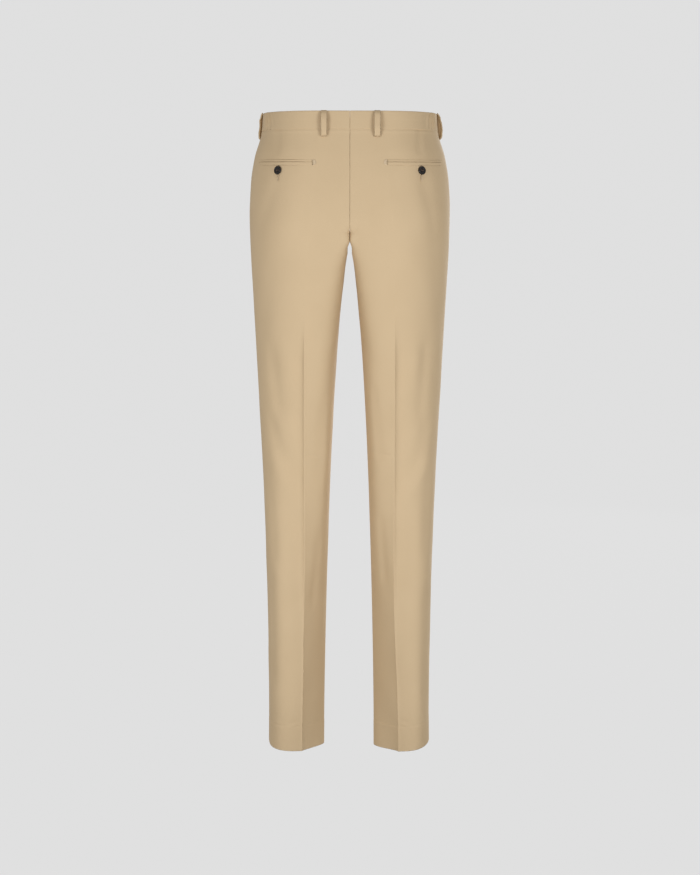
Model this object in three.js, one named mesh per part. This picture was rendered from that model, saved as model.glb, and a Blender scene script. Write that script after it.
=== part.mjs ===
// Suit trousers, slim cut with pressed creases, filled out as when worn, with no wearer inside.
// Millimetres. +Z is up, -Y is the wearer's front and +X the wearer's left.
// The origin is the middle of the waist ring, at half the height of the waistband.
//
// Every cloth piece is a wall between two grids of points. The grids follow level sections of the
// garment. A section of one leg and hip is four curves: from the middle seam (or, lower down, from
// the inseam) to the pressed crease and on to the side seam, once for the back and once in front.

import * as THREE from 'three';

// ---- Driving sizes -------------------------------------------------------------------------------

const SEAM_GAP = 0.3;            // between two pieces sewn to each other
const LAYER_GAP = 0.8;           // between a piece and one that lies loosely behind it
const CLOTH = 1.5;               // wall of a panel with its seam allowances
const BAND_CLOTH = 3;            // waistband, two layers and its interlining
const BAND_PROUD = 0.8;          // the band's outer face stands this far in front of the panels
const BAND_HALF = 14.5;          // half the height of the waistband
const WAIST_TILT = 0.065;        // rise of the waist from front to back, per millimetre of depth
const TILT_END = -150;           // height where the sections are level
const HEM_TILT = -0.03;          // the hem is a little lower at the back
const HEM_TILT_START = -900;
const HEM = -1060;
const CROTCH = -187.5;
const CROTCH_Y = -8;             // where the four panels meet

// One row per level section. side and inner: x of the side seam and of the inseam. sideY: y of the
// side seam. back and front: y of the two creases, and backCrease and frontCrease their x. The
// angles, in degrees, say how steeply the section leaves a crease: backOut and backIn on the outer
// and inner side of the back one, frontOff on both sides of the front one. Equal and opposite angles
// make a smooth section. outerReach and sideFull: how full the outer side is, along x from the crease
// and along y from the side seam, where 0.55 is round. innerReach and innerFull: the same on the inner
// side. innerDeep: how far behind the crease that curve ends, to run on straight to the inseam.
const SECTION_COLUMNS = ['z', 'side', 'inner', 'sideY', 'back', 'front', 'backCrease', 'frontCrease',
  'backOut', 'backIn', 'frontOff', 'sideFull', 'outerReach', 'innerReach', 'innerFull', 'innerDeep'];
const SECTIONS = [
  [15, 144.5, 0, 0, 121, -119, 46, 72, 0, 0, 0, 0.6, 0.56, 0.85, 0.95, 45],
  [-15, 147, 0, 0, 122, -120, 46, 72, 0, 0, 0, 0.6, 0.56, 0.85, 0.95, 45],
  [-60, 159.5, 0, 2, 128, -123, 52, 74, 0, 0, 1, 0.6, 0.56, 0.85, 0.95, 45],
  [-100, 165.5, 0, 4, 132, -124, 58, 76, 0, 0, 2, 0.59, 0.56, 0.85, 0.95, 45],
  [-150, 167.6, 0, 6, 134, -122, 66, 80, 1, 1, 4, 0.58, 0.56, 0.85, 0.95, 45],
  [-200, 166.7, 0.3, 6, 129, -117, 71, 85, 2, 2, 6, 0.57, 0.56, 0.85, 0.95, 45],
  [-215, 166.1, 3.8, 5.5, 125.5, -115.2, 72, 87, 2, 2, 7, 0.57, 0.56, 0.84, 0.93, 48],
  [-235, 165.2, 7, 4.5, 121, -113, 73.5, 89.5, 3, 3, 8, 0.57, 0.56, 0.81, 0.9, 53],
  [-260, 163.8, 9.8, 3, 115, -111, 74, 92, 4, 4, 9, 0.57, 0.56, 0.8, 0.88, 60],
  [-340, 159.5, 17.5, 0, 103, -103, 75, 97, 6, 7, 12, 0.56, 0.56, 0.82, 0.86, 90],
  [-450, 153.8, 25, -2, 90, -93, 75.4, 99, 6, 13, 16, 0.62, 0.62, 0.84, 0.86, 130],
  [-600, 146.2, 32.3, -3, 77, -79, 75.8, 98, 0, 21, 20, 0.73, 0.74, 0.88, 0.84, 130],
  [-700, 142.4, 35.8, -1, 73.5, -74, 76.1, 97, -9, 33, 22, 0.8, 0.8, 0.82, 0.7, 130],
  [-800, 139.6, 38.5, 0, 69, -71, 76.8, 96, -18, 44, 24, 0.86, 0.82, 0.7, 0.5, 130],
  [-900, 137.9, 40.7, 0, 66, -69.5, 78.8, 95.5, -24, 51, 26, 0.9, 0.82, 0.6, 0.33, 130],
  [-1000, 137.2, 42.3, 0, 64.5, -69, 81.2, 95, -27, 57, 27, 0.92, 0.82, 0.58, 0.26, 130],
  [-1060, 137.6, 42.7, 0, 64, -69, 82.4, 95, -28, 60, 28, 0.92, 0.82, 0.58, 0.26, 130],
];
const ACROSS_REACH = 0.35;       // length of a handle that runs across a middle seam, as a share

// The seat seam and the front seam lie in a slight valley. They come down the middle and turn under
// to the crotch: the turn starts at this height and is a superellipse of this order.
const VALLEY = 0.8;

// The valley between the legs stays at a share of innerDeep down to a height just above the crotch
// and reaches it over growth. The legs part between start and end into a notch with a rounded top.
const DEPTH = { share: 0.3, start: -184, growth: 45 };
const NOTCH = { start: -189, end: -204, half: 3.4 };
const RISE = { start: -140, order: 4 };

// Heights of the panels' rows, closer together where the seams turn under.
const PANEL_ROWS = [-40, -62, -80, -105, -130, -148, -162, -171, -178, -182.5, -185.5, -187.2, CROTCH,
  -190, -196, -204, -220, -240, -270, -310, -360, -425, -500, -575, -650, -730, -815, -900, -980];
const INNER_COLUMNS = 5;
const OUTER_COLUMNS = 7;
const TURN_WEIGHT = 22;          // columns lie closer where a section turns: length one radian adds

// Slanted side pocket: distance of its mouth from the side seam at the waist, and its lower end.
const MOUTH = { top: 45, bottom: -178, under: 20 };

const LOOP = { width: 10.6, cloth: 1.4, stand: 7, below: 13.5, stations: 9 };
const LOOPS = [
  { name: 'belt_loop_back_left', side: 1, panel: 'back', x: 42.5 },
  { name: 'belt_loop_back_right', side: -1, panel: 'back', x: 44.5 },
  { name: 'belt_loop_side_left', side: 1, panel: 'side' },
  { name: 'belt_loop_side_right', side: -1, panel: 'side' },
  { name: 'belt_loop_front_left', side: 1, panel: 'front', x: 72 },
  { name: 'belt_loop_front_right', side: -1, panel: 'front', x: 72 },
];

const JET = {
  line: -66, upper: 3.1, lower: 5.1, cloth: 0.9, seat: 0.5, inner: 61.5, outer: 150, columns: 10,
};
const BUTTON = { radius: 7.2, thick: 2.6, hole: 0.85, holeRing: 2.1, sides: 20, holeSides: 6 };
const BACK_BUTTON = { x: 117.5, z: -79 };
const LAP = { ramp: 15, past: 38, columns: 3 };
const WAIST_BUTTON_PAST = 24;
const SHIELD = { cloth: 1.4, over: 36, under: 28, bottom: -168 };
const ZIP = { thick: 1.2, half: 13, top: -19, bottom: -156 };

const WOOL = { color: 0xcdb48f, roughness: 0.85, metalness: 0 };
const TAPE = { color: 0xb9a07c, roughness: 0.8, metalness: 0 };
const HORN = { color: 0x2b1c13, roughness: 0.25, metalness: 0 };

// ---- Sections ------------------------------------------------------------------------------------

const rows = SECTIONS.map((row) => Object.fromEntries(SECTION_COLUMNS.map((name, i) => [name, row[i]])));

// Slope at each row of one column, so that the curve through the rows never overshoots them.
function columnSlopes(name) {
  const steps = rows.slice(1).map((row, i) => (row[name] - rows[i][name]) / (row.z - rows[i].z));
  return rows.map((row, i) => {
    if (i === 0 || i === rows.length - 1) return steps[Math.min(i, steps.length - 1)];
    const [a, b] = [steps[i - 1], steps[i]];
    return a * b > 0 ? (2 * a * b) / (a + b) : 0;
  });
}

const slopes = Object.fromEntries(SECTION_COLUMNS.map((name) => [name, columnSlopes(name)]));

// All columns at height z, by a cubic between the two nearest rows.
function sectionAt(z) {
  let i = rows.findIndex((row) => row.z <= z) - 1;
  if (i < -1) i = rows.length - 2;
  i = Math.max(i, 0);
  const span = rows[i + 1].z - rows[i].z;
  const t = (z - rows[i].z) / span;
  const value = (name) => {
    const [a, b] = [rows[i][name], rows[i + 1][name]];
    const [da, db] = [slopes[name][i] * span, slopes[name][i + 1] * span];
    const [t2, t3] = [t * t, t * t * t];
    return a * (2 * t3 - 3 * t2 + 1) + da * (t3 - 2 * t2 + t) + b * (3 * t2 - 2 * t3) + db * (t3 - t2);
  };
  return Object.fromEntries(SECTION_COLUMNS.map((name) => [name, value(name)]));
}

const smooth = (t) => {
  const c = THREE.MathUtils.clamp(t, 0, 1);
  return c * c * (3 - 2 * c);
};

// Rise of a section per millimetre of y: the waist and the hem are not quite level.
function tiltAt(z) {
  const waist = 1 - smooth((-BAND_HALF - z) / (-BAND_HALF - TILT_END));
  const hem = smooth((HEM_TILT_START - z) / (HEM_TILT_START - HEM));
  return WAIST_TILT * waist + HEM_TILT * hem;
}

// How far the middle seams have turned under at height z, from 0 to 1 at the crotch.
const turnAt = (z) => THREE.MathUtils.clamp((RISE.start - z) / (RISE.start - CROTCH), 0, 1);

// y of the inner end of a section: on the middle seam above the crotch, on the inseam below it.
function innerY(z, crest) {
  if (z <= CROTCH) return CROTCH_Y * (1 - 0.6 * smooth((CROTCH - z) / (CROTCH - HEM)));
  return CROTCH_Y + (crest - CROTCH_Y) * (1 - turnAt(z) ** RISE.order) ** (1 / RISE.order);
}

const ARC_STEPS = 40;

// A curve of a section from the crease to its end. off is its angle at the crease, and reach and
// full are the lengths of its two handles. At its end it runs along y where turn is 1, and along x,
// across a middle seam, where turn is 0.
function quarter(crease, end, off, reach, full, turn = 1) {
  const [dx, dy] = [end.x - crease.x, end.y - crease.y];
  const angle = THREE.MathUtils.degToRad(off);
  const handle = reach * Math.abs(dx);
  const first = new THREE.Vector2(
    crease.x + Math.sign(dx) * handle * Math.cos(angle),
    crease.y + Math.sign(dy) * handle * Math.sin(angle),
  );
  const second = new THREE.Vector2(end.x - ACROSS_REACH * dx, end.y);
  second.lerp(new THREE.Vector2(end.x, end.y - full * dy), turn);
  return new THREE.CubicBezierCurve(crease, first, second, end).getPoints(ARC_STEPS);
}

// The section of one panel at height z as points from its inner end to the side seam, with the
// distance run so far and the outward direction at each point. creaseRun is the run at the crease.
function profileAt(z, panel) {
  const section = sectionAt(z);
  const back = panel === 'back';
  const behind = back ? 1 : -1;
  const half = behind * SEAM_GAP / 2;
  const crease = back
    ? new THREE.Vector2(section.backCrease, section.back)
    : new THREE.Vector2(section.frontCrease, section.front);
  const endY = innerY(z, crease.y - behind * VALLEY) + (z > CROTCH ? 0 : half);
  const deepening = smooth((DEPTH.start - z) / DEPTH.growth);
  const deep = section.innerDeep * (DEPTH.share + (1 - DEPTH.share) * deepening);
  const cornerY = behind * Math.max(behind * endY, behind * crease.y - deep);
  const parted = smooth((NOTCH.start - z) / (NOTCH.start - NOTCH.end));
  const inner = SEAM_GAP / 2 + Math.max(section.inner, NOTCH.half) * parted;
  const corner = new THREE.Vector2(inner, cornerY);
  const side = new THREE.Vector2(section.side, section.sideY + half);
  const [out, off] = back ? [section.backOut, section.backIn] : [section.frontOff, section.frontOff];
  const { innerReach, innerFull } = section;
  const points = quarter(crease, corner, off, innerReach, innerFull, smooth(turnAt(z))).reverse();
  if (Math.abs(cornerY - endY) > SEAM_GAP) points.unshift(new THREE.Vector2(inner, endY));
  const creaseAt = points.length - 1;
  points.push(...quarter(crease, side, out, section.outerReach, section.sideFull).slice(1));
  const runs = [0];
  for (let i = 1; i < points.length; i++) runs.push(runs[i - 1] + points[i].distanceTo(points[i - 1]));
  const outward = points.map((point, i) => {
    const ahead = points[Math.min(i + 1, points.length - 1)].clone();
    const along = ahead.sub(points[Math.max(i - 1, 0)]).normalize();
    return back ? new THREE.Vector2(-along.y, along.x) : new THREE.Vector2(along.y, -along.x);
  });
  return { z, points, runs, outward, creaseRun: runs[creaseAt], length: runs.at(-1) };
}

// A point of the garment's surface, moved out by a distance. Left is side 1 and right is side -1.
function onProfile(profile, run, out, side) {
  const last = profile.runs.length - 2;
  const found = profile.runs.findIndex((value) => value > run) - 1;
  const i = found < 0 ? (run <= 0 ? 0 : last) : Math.min(found, last);
  const t = (run - profile.runs[i]) / (profile.runs[i + 1] - profile.runs[i]);
  const point = profile.points[i].clone().lerp(profile.points[i + 1], t);
  const normal = profile.outward[i].clone().lerp(profile.outward[i + 1], t).normalize();
  point.addScaledVector(normal, out);
  return new THREE.Vector3(side * point.x, point.y, profile.z + tiltAt(profile.z) * point.y);
}

// Run along a profile to the point with the given x.
function runAtX(profile, x) {
  let [low, high] = [0, profile.length];
  for (let i = 0; i < 40; i++) {
    const middle = (low + high) / 2;
    if (onProfile(profile, middle, 0, 1).x < x) low = middle;
    else high = middle;
  }
  return low;
}

// ---- Solids --------------------------------------------------------------------------------------

// A closed wall between two grids of points of the same size.
function wall(outer, inner) {
  const [rowCount, columnCount] = [outer.length, outer[0].length];
  const points = [...outer.flat(), ...inner.flat()];
  const at = (layer, row, column) => (layer * rowCount + row) * columnCount + column;
  const triangles = [];
  const quad = (a, b, c, d) => triangles.push([a, b, c], [a, c, d]);
  for (let r = 0; r + 1 < rowCount; r++) {
    for (let c = 0; c + 1 < columnCount; c++) {
      quad(at(0, r, c), at(0, r + 1, c), at(0, r + 1, c + 1), at(0, r, c + 1));
      quad(at(1, r, c), at(1, r, c + 1), at(1, r + 1, c + 1), at(1, r + 1, c));
    }
    quad(at(0, r, 0), at(1, r, 0), at(1, r + 1, 0), at(0, r + 1, 0));
    const c = columnCount - 1;
    quad(at(0, r, c), at(0, r + 1, c), at(1, r + 1, c), at(1, r, c));
  }
  for (let c = 0; c + 1 < columnCount; c++) {
    quad(at(0, 0, c), at(0, 0, c + 1), at(1, 0, c + 1), at(1, 0, c));
    const r = rowCount - 1;
    quad(at(0, r, c), at(1, r, c), at(1, r, c + 1), at(0, r, c + 1));
  }
  const volume = triangles.reduce((sum, [a, b, c]) => sum
    + points[a].dot(new THREE.Vector3().crossVectors(points[b], points[c])), 0);
  const outwards = volume > 0 ? triangles : triangles.map(([a, b, c]) => [a, c, b]);
  const geometry = new THREE.BufferGeometry();
  geometry.setAttribute('position', new THREE.Float32BufferAttribute(points.flatMap((p) => p.toArray()), 3));
  geometry.setIndex(outwards.flat());
  geometry.computeVertexNormals();
  return geometry;
}

// A wall from a function of (row, column, out) that gives a point, and how far out its two faces lie.
function sheet(rowCount, columnCount, place, outerFace, innerFace) {
  const grid = (out) => Array.from({ length: rowCount }, (_, r) =>
    Array.from({ length: columnCount }, (__, c) => place(r, c, out)));
  return wall(grid(outerFace), grid(innerFace));
}

const group = new THREE.Group();

function add(name, geometry, finish) {
  const mesh = new THREE.Mesh(geometry, new THREE.MeshStandardMaterial(finish));
  mesh.name = name;
  group.add(mesh);
  return mesh;
}

// ---- Panels --------------------------------------------------------------------------------------

const panelTop = -BAND_HALF - SEAM_GAP / 2;
const panelHeights = [panelTop, ...PANEL_ROWS, HEM];

// Distance of the slanted pocket mouth from the side seam, along the cloth.
const mouthAt = (z) => Math.max(0, (MOUTH.top * (z - MOUTH.bottom)) / (panelTop - MOUTH.bottom));

// Runs of a panel's columns, with one column on the crease. Between the ends of each stretch they
// are even in a measure that grows with length and with turning.
function columnRuns(profile, end) {
  const { points, runs, outward } = profile;
  const measures = [0];
  for (let i = 1; i < points.length; i++) {
    const turning = Math.abs(outward[i].angleTo(outward[i - 1]));
    measures.push(measures[i - 1] + runs[i] - runs[i - 1] + TURN_WEIGHT * turning);
  }
  const convert = (value, from, to) => {
    const i = Math.max(1, Math.min(from.findIndex((entry) => entry >= value), from.length - 1));
    return to[i - 1] + ((to[i] - to[i - 1]) * (value - from[i - 1])) / (from[i] - from[i - 1]);
  };
  const stretch = (first, last, count) => {
    const [low, high] = [convert(first, runs, measures), convert(last, runs, measures)];
    return Array.from({ length: count - 1 }, (_, i) =>
      convert(low + ((high - low) * (i + 1)) / count, measures, runs));
  };
  const inner = stretch(0, profile.creaseRun, INNER_COLUMNS);
  const outer = stretch(profile.creaseRun, end, OUTER_COLUMNS);
  return [0, ...inner, profile.creaseRun, ...outer, end];
}

function panelSheet(panel, side) {
  const profiles = panelHeights.map((z) => profileAt(z, panel));
  const runs = profiles.map((profile) => {
    const mouth = panel === 'front' ? mouthAt(profile.z) : 0;
    return columnRuns(profile, profile.length - mouth);
  });
  // The wall's other face lies square to the cloth, which faces down where the seams turn under.
  const place = (r, c, out) => {
    const face = onProfile(profiles[r], runs[r][c], 0, side);
    if (out === 0) return face;
    const outward = onProfile(profiles[r], runs[r][c], 1, side).sub(face).setZ(0).normalize();
    const [above, below] = [Math.max(r - 1, 0), Math.min(r + 1, profiles.length - 1)];
    const fall = onProfile(profiles[above], runs[above][c], 0, side)
      .sub(onProfile(profiles[below], runs[below][c], 0, side));
    outward.z = -fall.dot(outward) / fall.z;
    const edge = above === r || below === r;
    if (edge) outward.z = 0;
    return face.addScaledVector(outward.normalize(), out);
  };
  return sheet(profiles.length, INNER_COLUMNS + OUTER_COLUMNS + 1, place, 0, -CLOTH);
}

// The piece behind the slanted mouth, from the side seam to under the front.
function pocketFacing(side) {
  const heights = panelHeights.filter((z) => z > MOUTH.bottom - MOUTH.under);
  const profiles = heights.map((z) => profileAt(z, 'front'));
  const columns = 5;
  const place = (r, c, out) => {
    const width = mouthAt(profiles[r].z) + MOUTH.under;
    return onProfile(profiles[r], profiles[r].length - (width * c) / (columns - 1), out, side);
  };
  const face = -CLOTH - LAYER_GAP;
  return sheet(heights.length, columns, place, face, face - CLOTH);
}

for (const [word, side] of [['left', 1], ['right', -1]]) {
  add(`back_${word}`, panelSheet('back', side), WOOL);
  add(`front_${word}`, panelSheet('front', side), WOOL);
  add(`side_pocket_facing_${word}`, pocketFacing(side), WOOL);
}

// ---- Waistband -----------------------------------------------------------------------------------

const bandHeights = [-BAND_HALF + SEAM_GAP / 2, 0, BAND_HALF];
const bandOuter = BAND_PROUD;
const bandInner = BAND_PROUD - BAND_CLOTH;
const lapLift = BAND_CLOTH + SEAM_GAP;

// Stations round half the waist: from the back seam to the side and on to the front middle. The
// left half then laps over the right one and carries the buttonhole end.
function bandStations(side) {
  const stations = [];
  const back = profileAt(0, 'back');
  const front = profileAt(0, 'front');
  columnRuns(back, back.length).forEach((run) => stations.push({ panel: 'back', share: run / back.length }));
  const frontRuns = columnRuns(front, front.length).reverse().slice(1);
  const lapped = side > 0;
  frontRuns.filter((run) => !lapped || run > LAP.ramp).forEach((run) => {
    stations.push({ panel: 'front', share: run / front.length });
  });
  if (!lapped) return stations;
  stations.push({ panel: 'front', share: LAP.ramp / front.length });
  stations.push({ panel: 'front', share: 1 / front.length, lift: lapLift });
  for (let i = 1; i <= LAP.columns; i++) {
    const run = (LAP.past * i) / LAP.columns;
    stations.push({ panel: 'front', share: run / front.length, lift: lapLift, mirrored: true });
  }
  return stations;
}

function bandSheet(side) {
  const stations = bandStations(side);
  const profiles = bandHeights.map((z) => ({ back: profileAt(z, 'back'), front: profileAt(z, 'front') }));
  const place = (r, c, out) => {
    const { panel, share, lift = 0, mirrored = false } = stations[c];
    const profile = profiles[r][panel];
    return onProfile(profile, share * profile.length, out + lift, mirrored ? -side : side);
  };
  return sheet(bandHeights.length, stations.length, place, bandOuter, bandInner);
}

add('waistband_left', bandSheet(1), WOOL);
add('waistband_right', bandSheet(-1), WOOL);

// ---- Belt loops ----------------------------------------------------------------------------------

// A loop is a narrow strap. It is sewn down at the top of the band and below its seam, and stands
// off the band between the two.
function beltLoop({ side, panel, x }) {
  const bottom = -BAND_HALF - LOOP.below;
  const top = BAND_HALF;
  const columns = 3;
  const stations = Array.from({ length: LOOP.stations }, (_, i) => {
    const t = i / (LOOP.stations - 1);
    const z = bottom + (top - bottom) * t;
    const stand = LOOP.stand * Math.sin(Math.PI * t) ** 0.6;
    return { back: profileAt(z, 'back'), front: profileAt(z, 'front'), stand };
  });
  const place = (r, c, out) => {
    const { back, front, stand } = stations[r];
    const across = LOOP.width * (c / (columns - 1) - 0.5);
    const lift = BAND_PROUD + SEAM_GAP + stand + out;
    if (panel === 'side') {
      const profile = across < 0 ? front : back;
      return onProfile(profile, profile.length - Math.abs(across), lift, side);
    }
    const profile = panel === 'back' ? back : front;
    return onProfile(profile, runAtX(profile, x) + across, lift, side);
  };
  return sheet(LOOP.stations, columns, place, LOOP.cloth, 0);
}

LOOPS.forEach((loop) => add(loop.name, beltLoop(loop), WOOL));

// ---- Back pockets --------------------------------------------------------------------------------

// One lip of the pocket mouth: a folded strip that lies on the back panel.
function jet(side, top, bottom) {
  const profiles = [top, bottom].map((z) => profileAt(z, 'back'));
  const place = (r, c, out) => {
    const start = runAtX(profiles[r], JET.inner);
    const end = runAtX(profiles[r], JET.outer);
    return onProfile(profiles[r], start + ((end - start) * c) / JET.columns, out, side);
  };
  return sheet(2, JET.columns + 1, place, JET.seat + JET.cloth, JET.seat);
}

// A flat button with four holes, its axis along z and its underside at z = 0.
function buttonGeometry() {
  const shape = new THREE.Shape();
  shape.absarc(0, 0, BUTTON.radius, 0, 2 * Math.PI);
  for (let i = 0; i < 4; i++) {
    const angle = Math.PI * (0.25 + 0.5 * i);
    const hole = new THREE.Path();
    const [x, y] = [BUTTON.holeRing * Math.cos(angle), BUTTON.holeRing * Math.sin(angle)];
    const corners = Array.from({ length: BUTTON.holeSides }, (_, k) => {
      const turn = (2 * Math.PI * k) / BUTTON.holeSides;
      return new THREE.Vector2(x + BUTTON.hole * Math.cos(turn), y + BUTTON.hole * Math.sin(turn));
    });
    hole.setFromPoints(corners);
    shape.holes.push(hole);
  }
  return new THREE.ExtrudeGeometry(shape, {
    depth: BUTTON.thick, bevelEnabled: false, curveSegments: BUTTON.sides,
  });
}

// Sews a button on, flat against the cloth, at height z and at a run along that panel's profile.
function sewButton(name, panel, z, run, out, side) {
  const reach = BUTTON.radius / 2;
  const place = (dz, across) => onProfile(profileAt(z + dz, panel), run + across, out, side);
  const seat = place(0, 0);
  const up = place(reach, 0).sub(place(-reach, 0));
  const across = place(0, reach).sub(place(0, -reach));
  const normal = up.cross(across).normalize();
  if (normal.y * seat.y < 0) normal.negate();
  const button = add(name, buttonGeometry(), HORN);
  button.position.copy(seat);
  button.up.set(0, 0, 1);
  button.lookAt(seat.clone().add(normal));
}

for (const [word, side] of [['left', 1], ['right', -1]]) {
  add(`back_jet_upper_${word}`, jet(side, JET.line + JET.upper, JET.line + SEAM_GAP / 2), WOOL);
  add(`back_jet_lower_${word}`, jet(side, JET.line - SEAM_GAP / 2, JET.line - JET.lower), WOOL);
  const run = runAtX(profileAt(BACK_BUTTON.z, 'back'), BACK_BUTTON.x);
  sewButton(`back_pocket_button_${word}`, 'back', BACK_BUTTON.z, run, 0, side);
}

// ---- Front closure -------------------------------------------------------------------------------

sewButton('waist_button', 'front', 0, WAIST_BUTTON_PAST, bandOuter + lapLift + SEAM_GAP, -1);

// A strip behind both fronts. from and to are x on the left and on the right of the middle.
function flyStrip(from, to, top, bottom, face, thick) {
  const rowCount = 7;
  const columns = [from, from / 2, 0, -to / 2, -to];
  const profiles = Array.from({ length: rowCount }, (_, i) =>
    profileAt(top + ((bottom - top) * i) / (rowCount - 1), 'front'));
  const place = (r, c, out) => {
    const x = columns[c];
    if (x === 0) {
      const middle = profiles[r].points[0];
      const y = middle.y - out;
      return new THREE.Vector3(0, y, profiles[r].z + tiltAt(profiles[r].z) * y);
    }
    return onProfile(profiles[r], Math.abs(x), out, Math.sign(x));
  };
  return sheet(rowCount, columns.length, place, face, face - thick);
}

const zipFace = -CLOTH - LAYER_GAP;
const shieldFace = zipFace - ZIP.thick - LAYER_GAP;
add('zip', flyStrip(ZIP.half, ZIP.half, ZIP.top, ZIP.bottom, zipFace, ZIP.thick), TAPE);
const shield = flyStrip(SHIELD.over, SHIELD.under, panelTop, SHIELD.bottom, shieldFace, SHIELD.cloth);
add('fly_shield', shield, WOOL);

export default group;
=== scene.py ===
"""Slim suit trousers in fine beige cloth, filled out with nobody in them and seen from behind.

All sizes below are millimetres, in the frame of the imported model: +Z up, -Y the wearer's front,
+X the wearer's left, origin in the middle of the waist. Meshes are made in metres.
Each cloth piece is a thin shell on the form of its solid. The form is a stack of level sections,
and a place on it is given by a height and by the run along the section from its inner end.
"""

import math
from types import SimpleNamespace as Sizes

import bmesh
import bpy
import numpy as np
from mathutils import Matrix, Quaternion, Vector


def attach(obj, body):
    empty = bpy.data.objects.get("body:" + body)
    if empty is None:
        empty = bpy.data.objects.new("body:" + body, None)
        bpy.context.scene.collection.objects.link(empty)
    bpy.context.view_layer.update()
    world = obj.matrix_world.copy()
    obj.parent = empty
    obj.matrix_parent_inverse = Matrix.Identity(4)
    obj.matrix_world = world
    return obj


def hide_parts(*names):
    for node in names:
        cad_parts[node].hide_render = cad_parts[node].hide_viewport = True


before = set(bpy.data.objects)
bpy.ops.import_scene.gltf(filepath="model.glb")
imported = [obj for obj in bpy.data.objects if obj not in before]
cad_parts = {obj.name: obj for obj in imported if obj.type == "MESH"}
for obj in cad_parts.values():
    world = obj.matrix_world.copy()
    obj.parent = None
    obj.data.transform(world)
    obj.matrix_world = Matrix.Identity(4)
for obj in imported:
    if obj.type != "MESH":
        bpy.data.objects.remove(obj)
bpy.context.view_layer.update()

METRE = 0.001  # one millimetre in metres
SIDES = (("left", 1), ("right", -1))  # the wearer's left is +X

# ---- Sizes of the form ----

SEAM_GAP = 0.3
BAND_CLOTH = 3.0  # thickness of the waistband
BAND_PROUD = 0.8  # its face stands this far off the panels
BAND_HALF = 14.5  # half its height
WAIST_TILT = 0.065  # how much a level section rises towards the back, as a slope
TILT_END = -150.0
HEM_TILT = -0.03
HEM_TILT_START = -900.0
HEM = -1060.0
CROTCH = -187.5
CROTCH_Y = -8.0
INNER_DRIFT = 0.6  # the seam inside the leg goes back to the middle by this share, down to the hem
RISE_START = -140.0  # from here the seat seam turns in to the crotch, along a superellipse
RISE_ORDER = 4
SEAT_DIP = 0.8  # the seat seam lies this far inside the creases
ACROSS_REACH = 0.35  # handle of a curve that ends level at the middle, as a share of its width
CLEFT = (-189.0, -204.0)  # the legs part between these heights
NOTCH_HALF = 3.4  # half the width of the notch's rounded top
PRESSED = 0.35  # just under the crotch they press into each other by this much
PRESSED_WITHIN = 1.5
VALLEY_SHALLOW = 0.3  # share of its full depth that the hollow beside the seam has at the crotch
VALLEY_START = -184.0  # it deepens from here, over this height
VALLEY_GROWTH = 45.0

# The same sections as the solids have. Angles are in degrees, all else is in millimetres or a share.
SECTION_COLUMNS = (
    "z side inner side_y back front back_crease front_crease "
    "back_out back_in front_off side_full outer_reach inner_reach inner_full inner_deep"
).split()
SECTIONS = [
    [15, 144.5, 0, 0, 121, -119, 46, 72, 0, 0, 0, 0.6, 0.56, 0.85, 0.95, 45],
    [-15, 147, 0, 0, 122, -120, 46, 72, 0, 0, 0, 0.6, 0.56, 0.85, 0.95, 45],
    [-60, 159.5, 0, 2, 128, -123, 52, 74, 0, 0, 1, 0.6, 0.56, 0.85, 0.95, 45],
    [-100, 165.5, 0, 4, 132, -124, 58, 76, 0, 0, 2, 0.59, 0.56, 0.85, 0.95, 45],
    [-150, 167.6, 0, 6, 134, -122, 66, 80, 1, 1, 4, 0.58, 0.56, 0.85, 0.95, 45],
    [-200, 166.7, 0.3, 6, 129, -117, 71, 85, 2, 2, 6, 0.57, 0.56, 0.85, 0.95, 45],
    [-215, 166.1, 3.8, 5.5, 125.5, -115.2, 72, 87, 2, 2, 7, 0.57, 0.56, 0.84, 0.93, 48],
    [-235, 165.2, 7, 4.5, 121, -113, 73.5, 89.5, 3, 3, 8, 0.57, 0.56, 0.81, 0.9, 53],
    [-260, 163.8, 9.8, 3, 115, -111, 74, 92, 4, 4, 9, 0.57, 0.56, 0.8, 0.88, 60],
    [-340, 159.5, 17.5, 0, 103, -103, 75, 97, 6, 7, 12, 0.56, 0.56, 0.82, 0.86, 90],
    [-450, 153.8, 25, -2, 90, -93, 75.4, 99, 6, 13, 16, 0.62, 0.62, 0.84, 0.86, 130],
    [-600, 146.2, 32.3, -3, 77, -79, 75.8, 98, 0, 21, 20, 0.73, 0.74, 0.88, 0.84, 130],
    [-700, 142.4, 35.8, -1, 73.5, -74, 76.1, 97, -9, 33, 22, 0.8, 0.8, 0.82, 0.7, 130],
    [-800, 139.6, 38.5, 0, 69, -71, 76.8, 96, -18, 44, 24, 0.86, 0.82, 0.7, 0.5, 130],
    [-900, 137.9, 40.7, 0, 66, -69.5, 78.8, 95.5, -24, 51, 26, 0.9, 0.82, 0.6, 0.33, 130],
    [-1000, 137.2, 42.3, 0, 64.5, -69, 81.2, 95, -27, 57, 27, 0.92, 0.82, 0.58, 0.26, 130],
    [-1060, 137.6, 42.7, 0, 64, -69, 82.4, 95, -28, 60, 28, 0.92, 0.82, 0.58, 0.26, 130],
]

# ---- Sizes of the cloth pieces ----

CLOTH = 1.1  # panel cloth with its pressed seam allowances
TOUCH = 0.16  # rounded edges that meet at a seam press into each other by this much
CROTCH_SPREAD = 11.0  # the quick change of form at the crotch is evened out over about this height
CROTCH_REACH = 2.2
OFF_SEAM = Sizes(start=3.0, width=12.0)
ALLOWANCE = 0.35  # what the seam allowance adds inside
LAYER_EDGE = 1.5  # the edges of the layers inside slope over this width
TURN_UP = 42.0  # height of the turned-up hem inside
TURN_UP_CLOTH = 1.0
HEM_FOLD = 2.5  # over this height the folded edge grows to its full thickness

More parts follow.
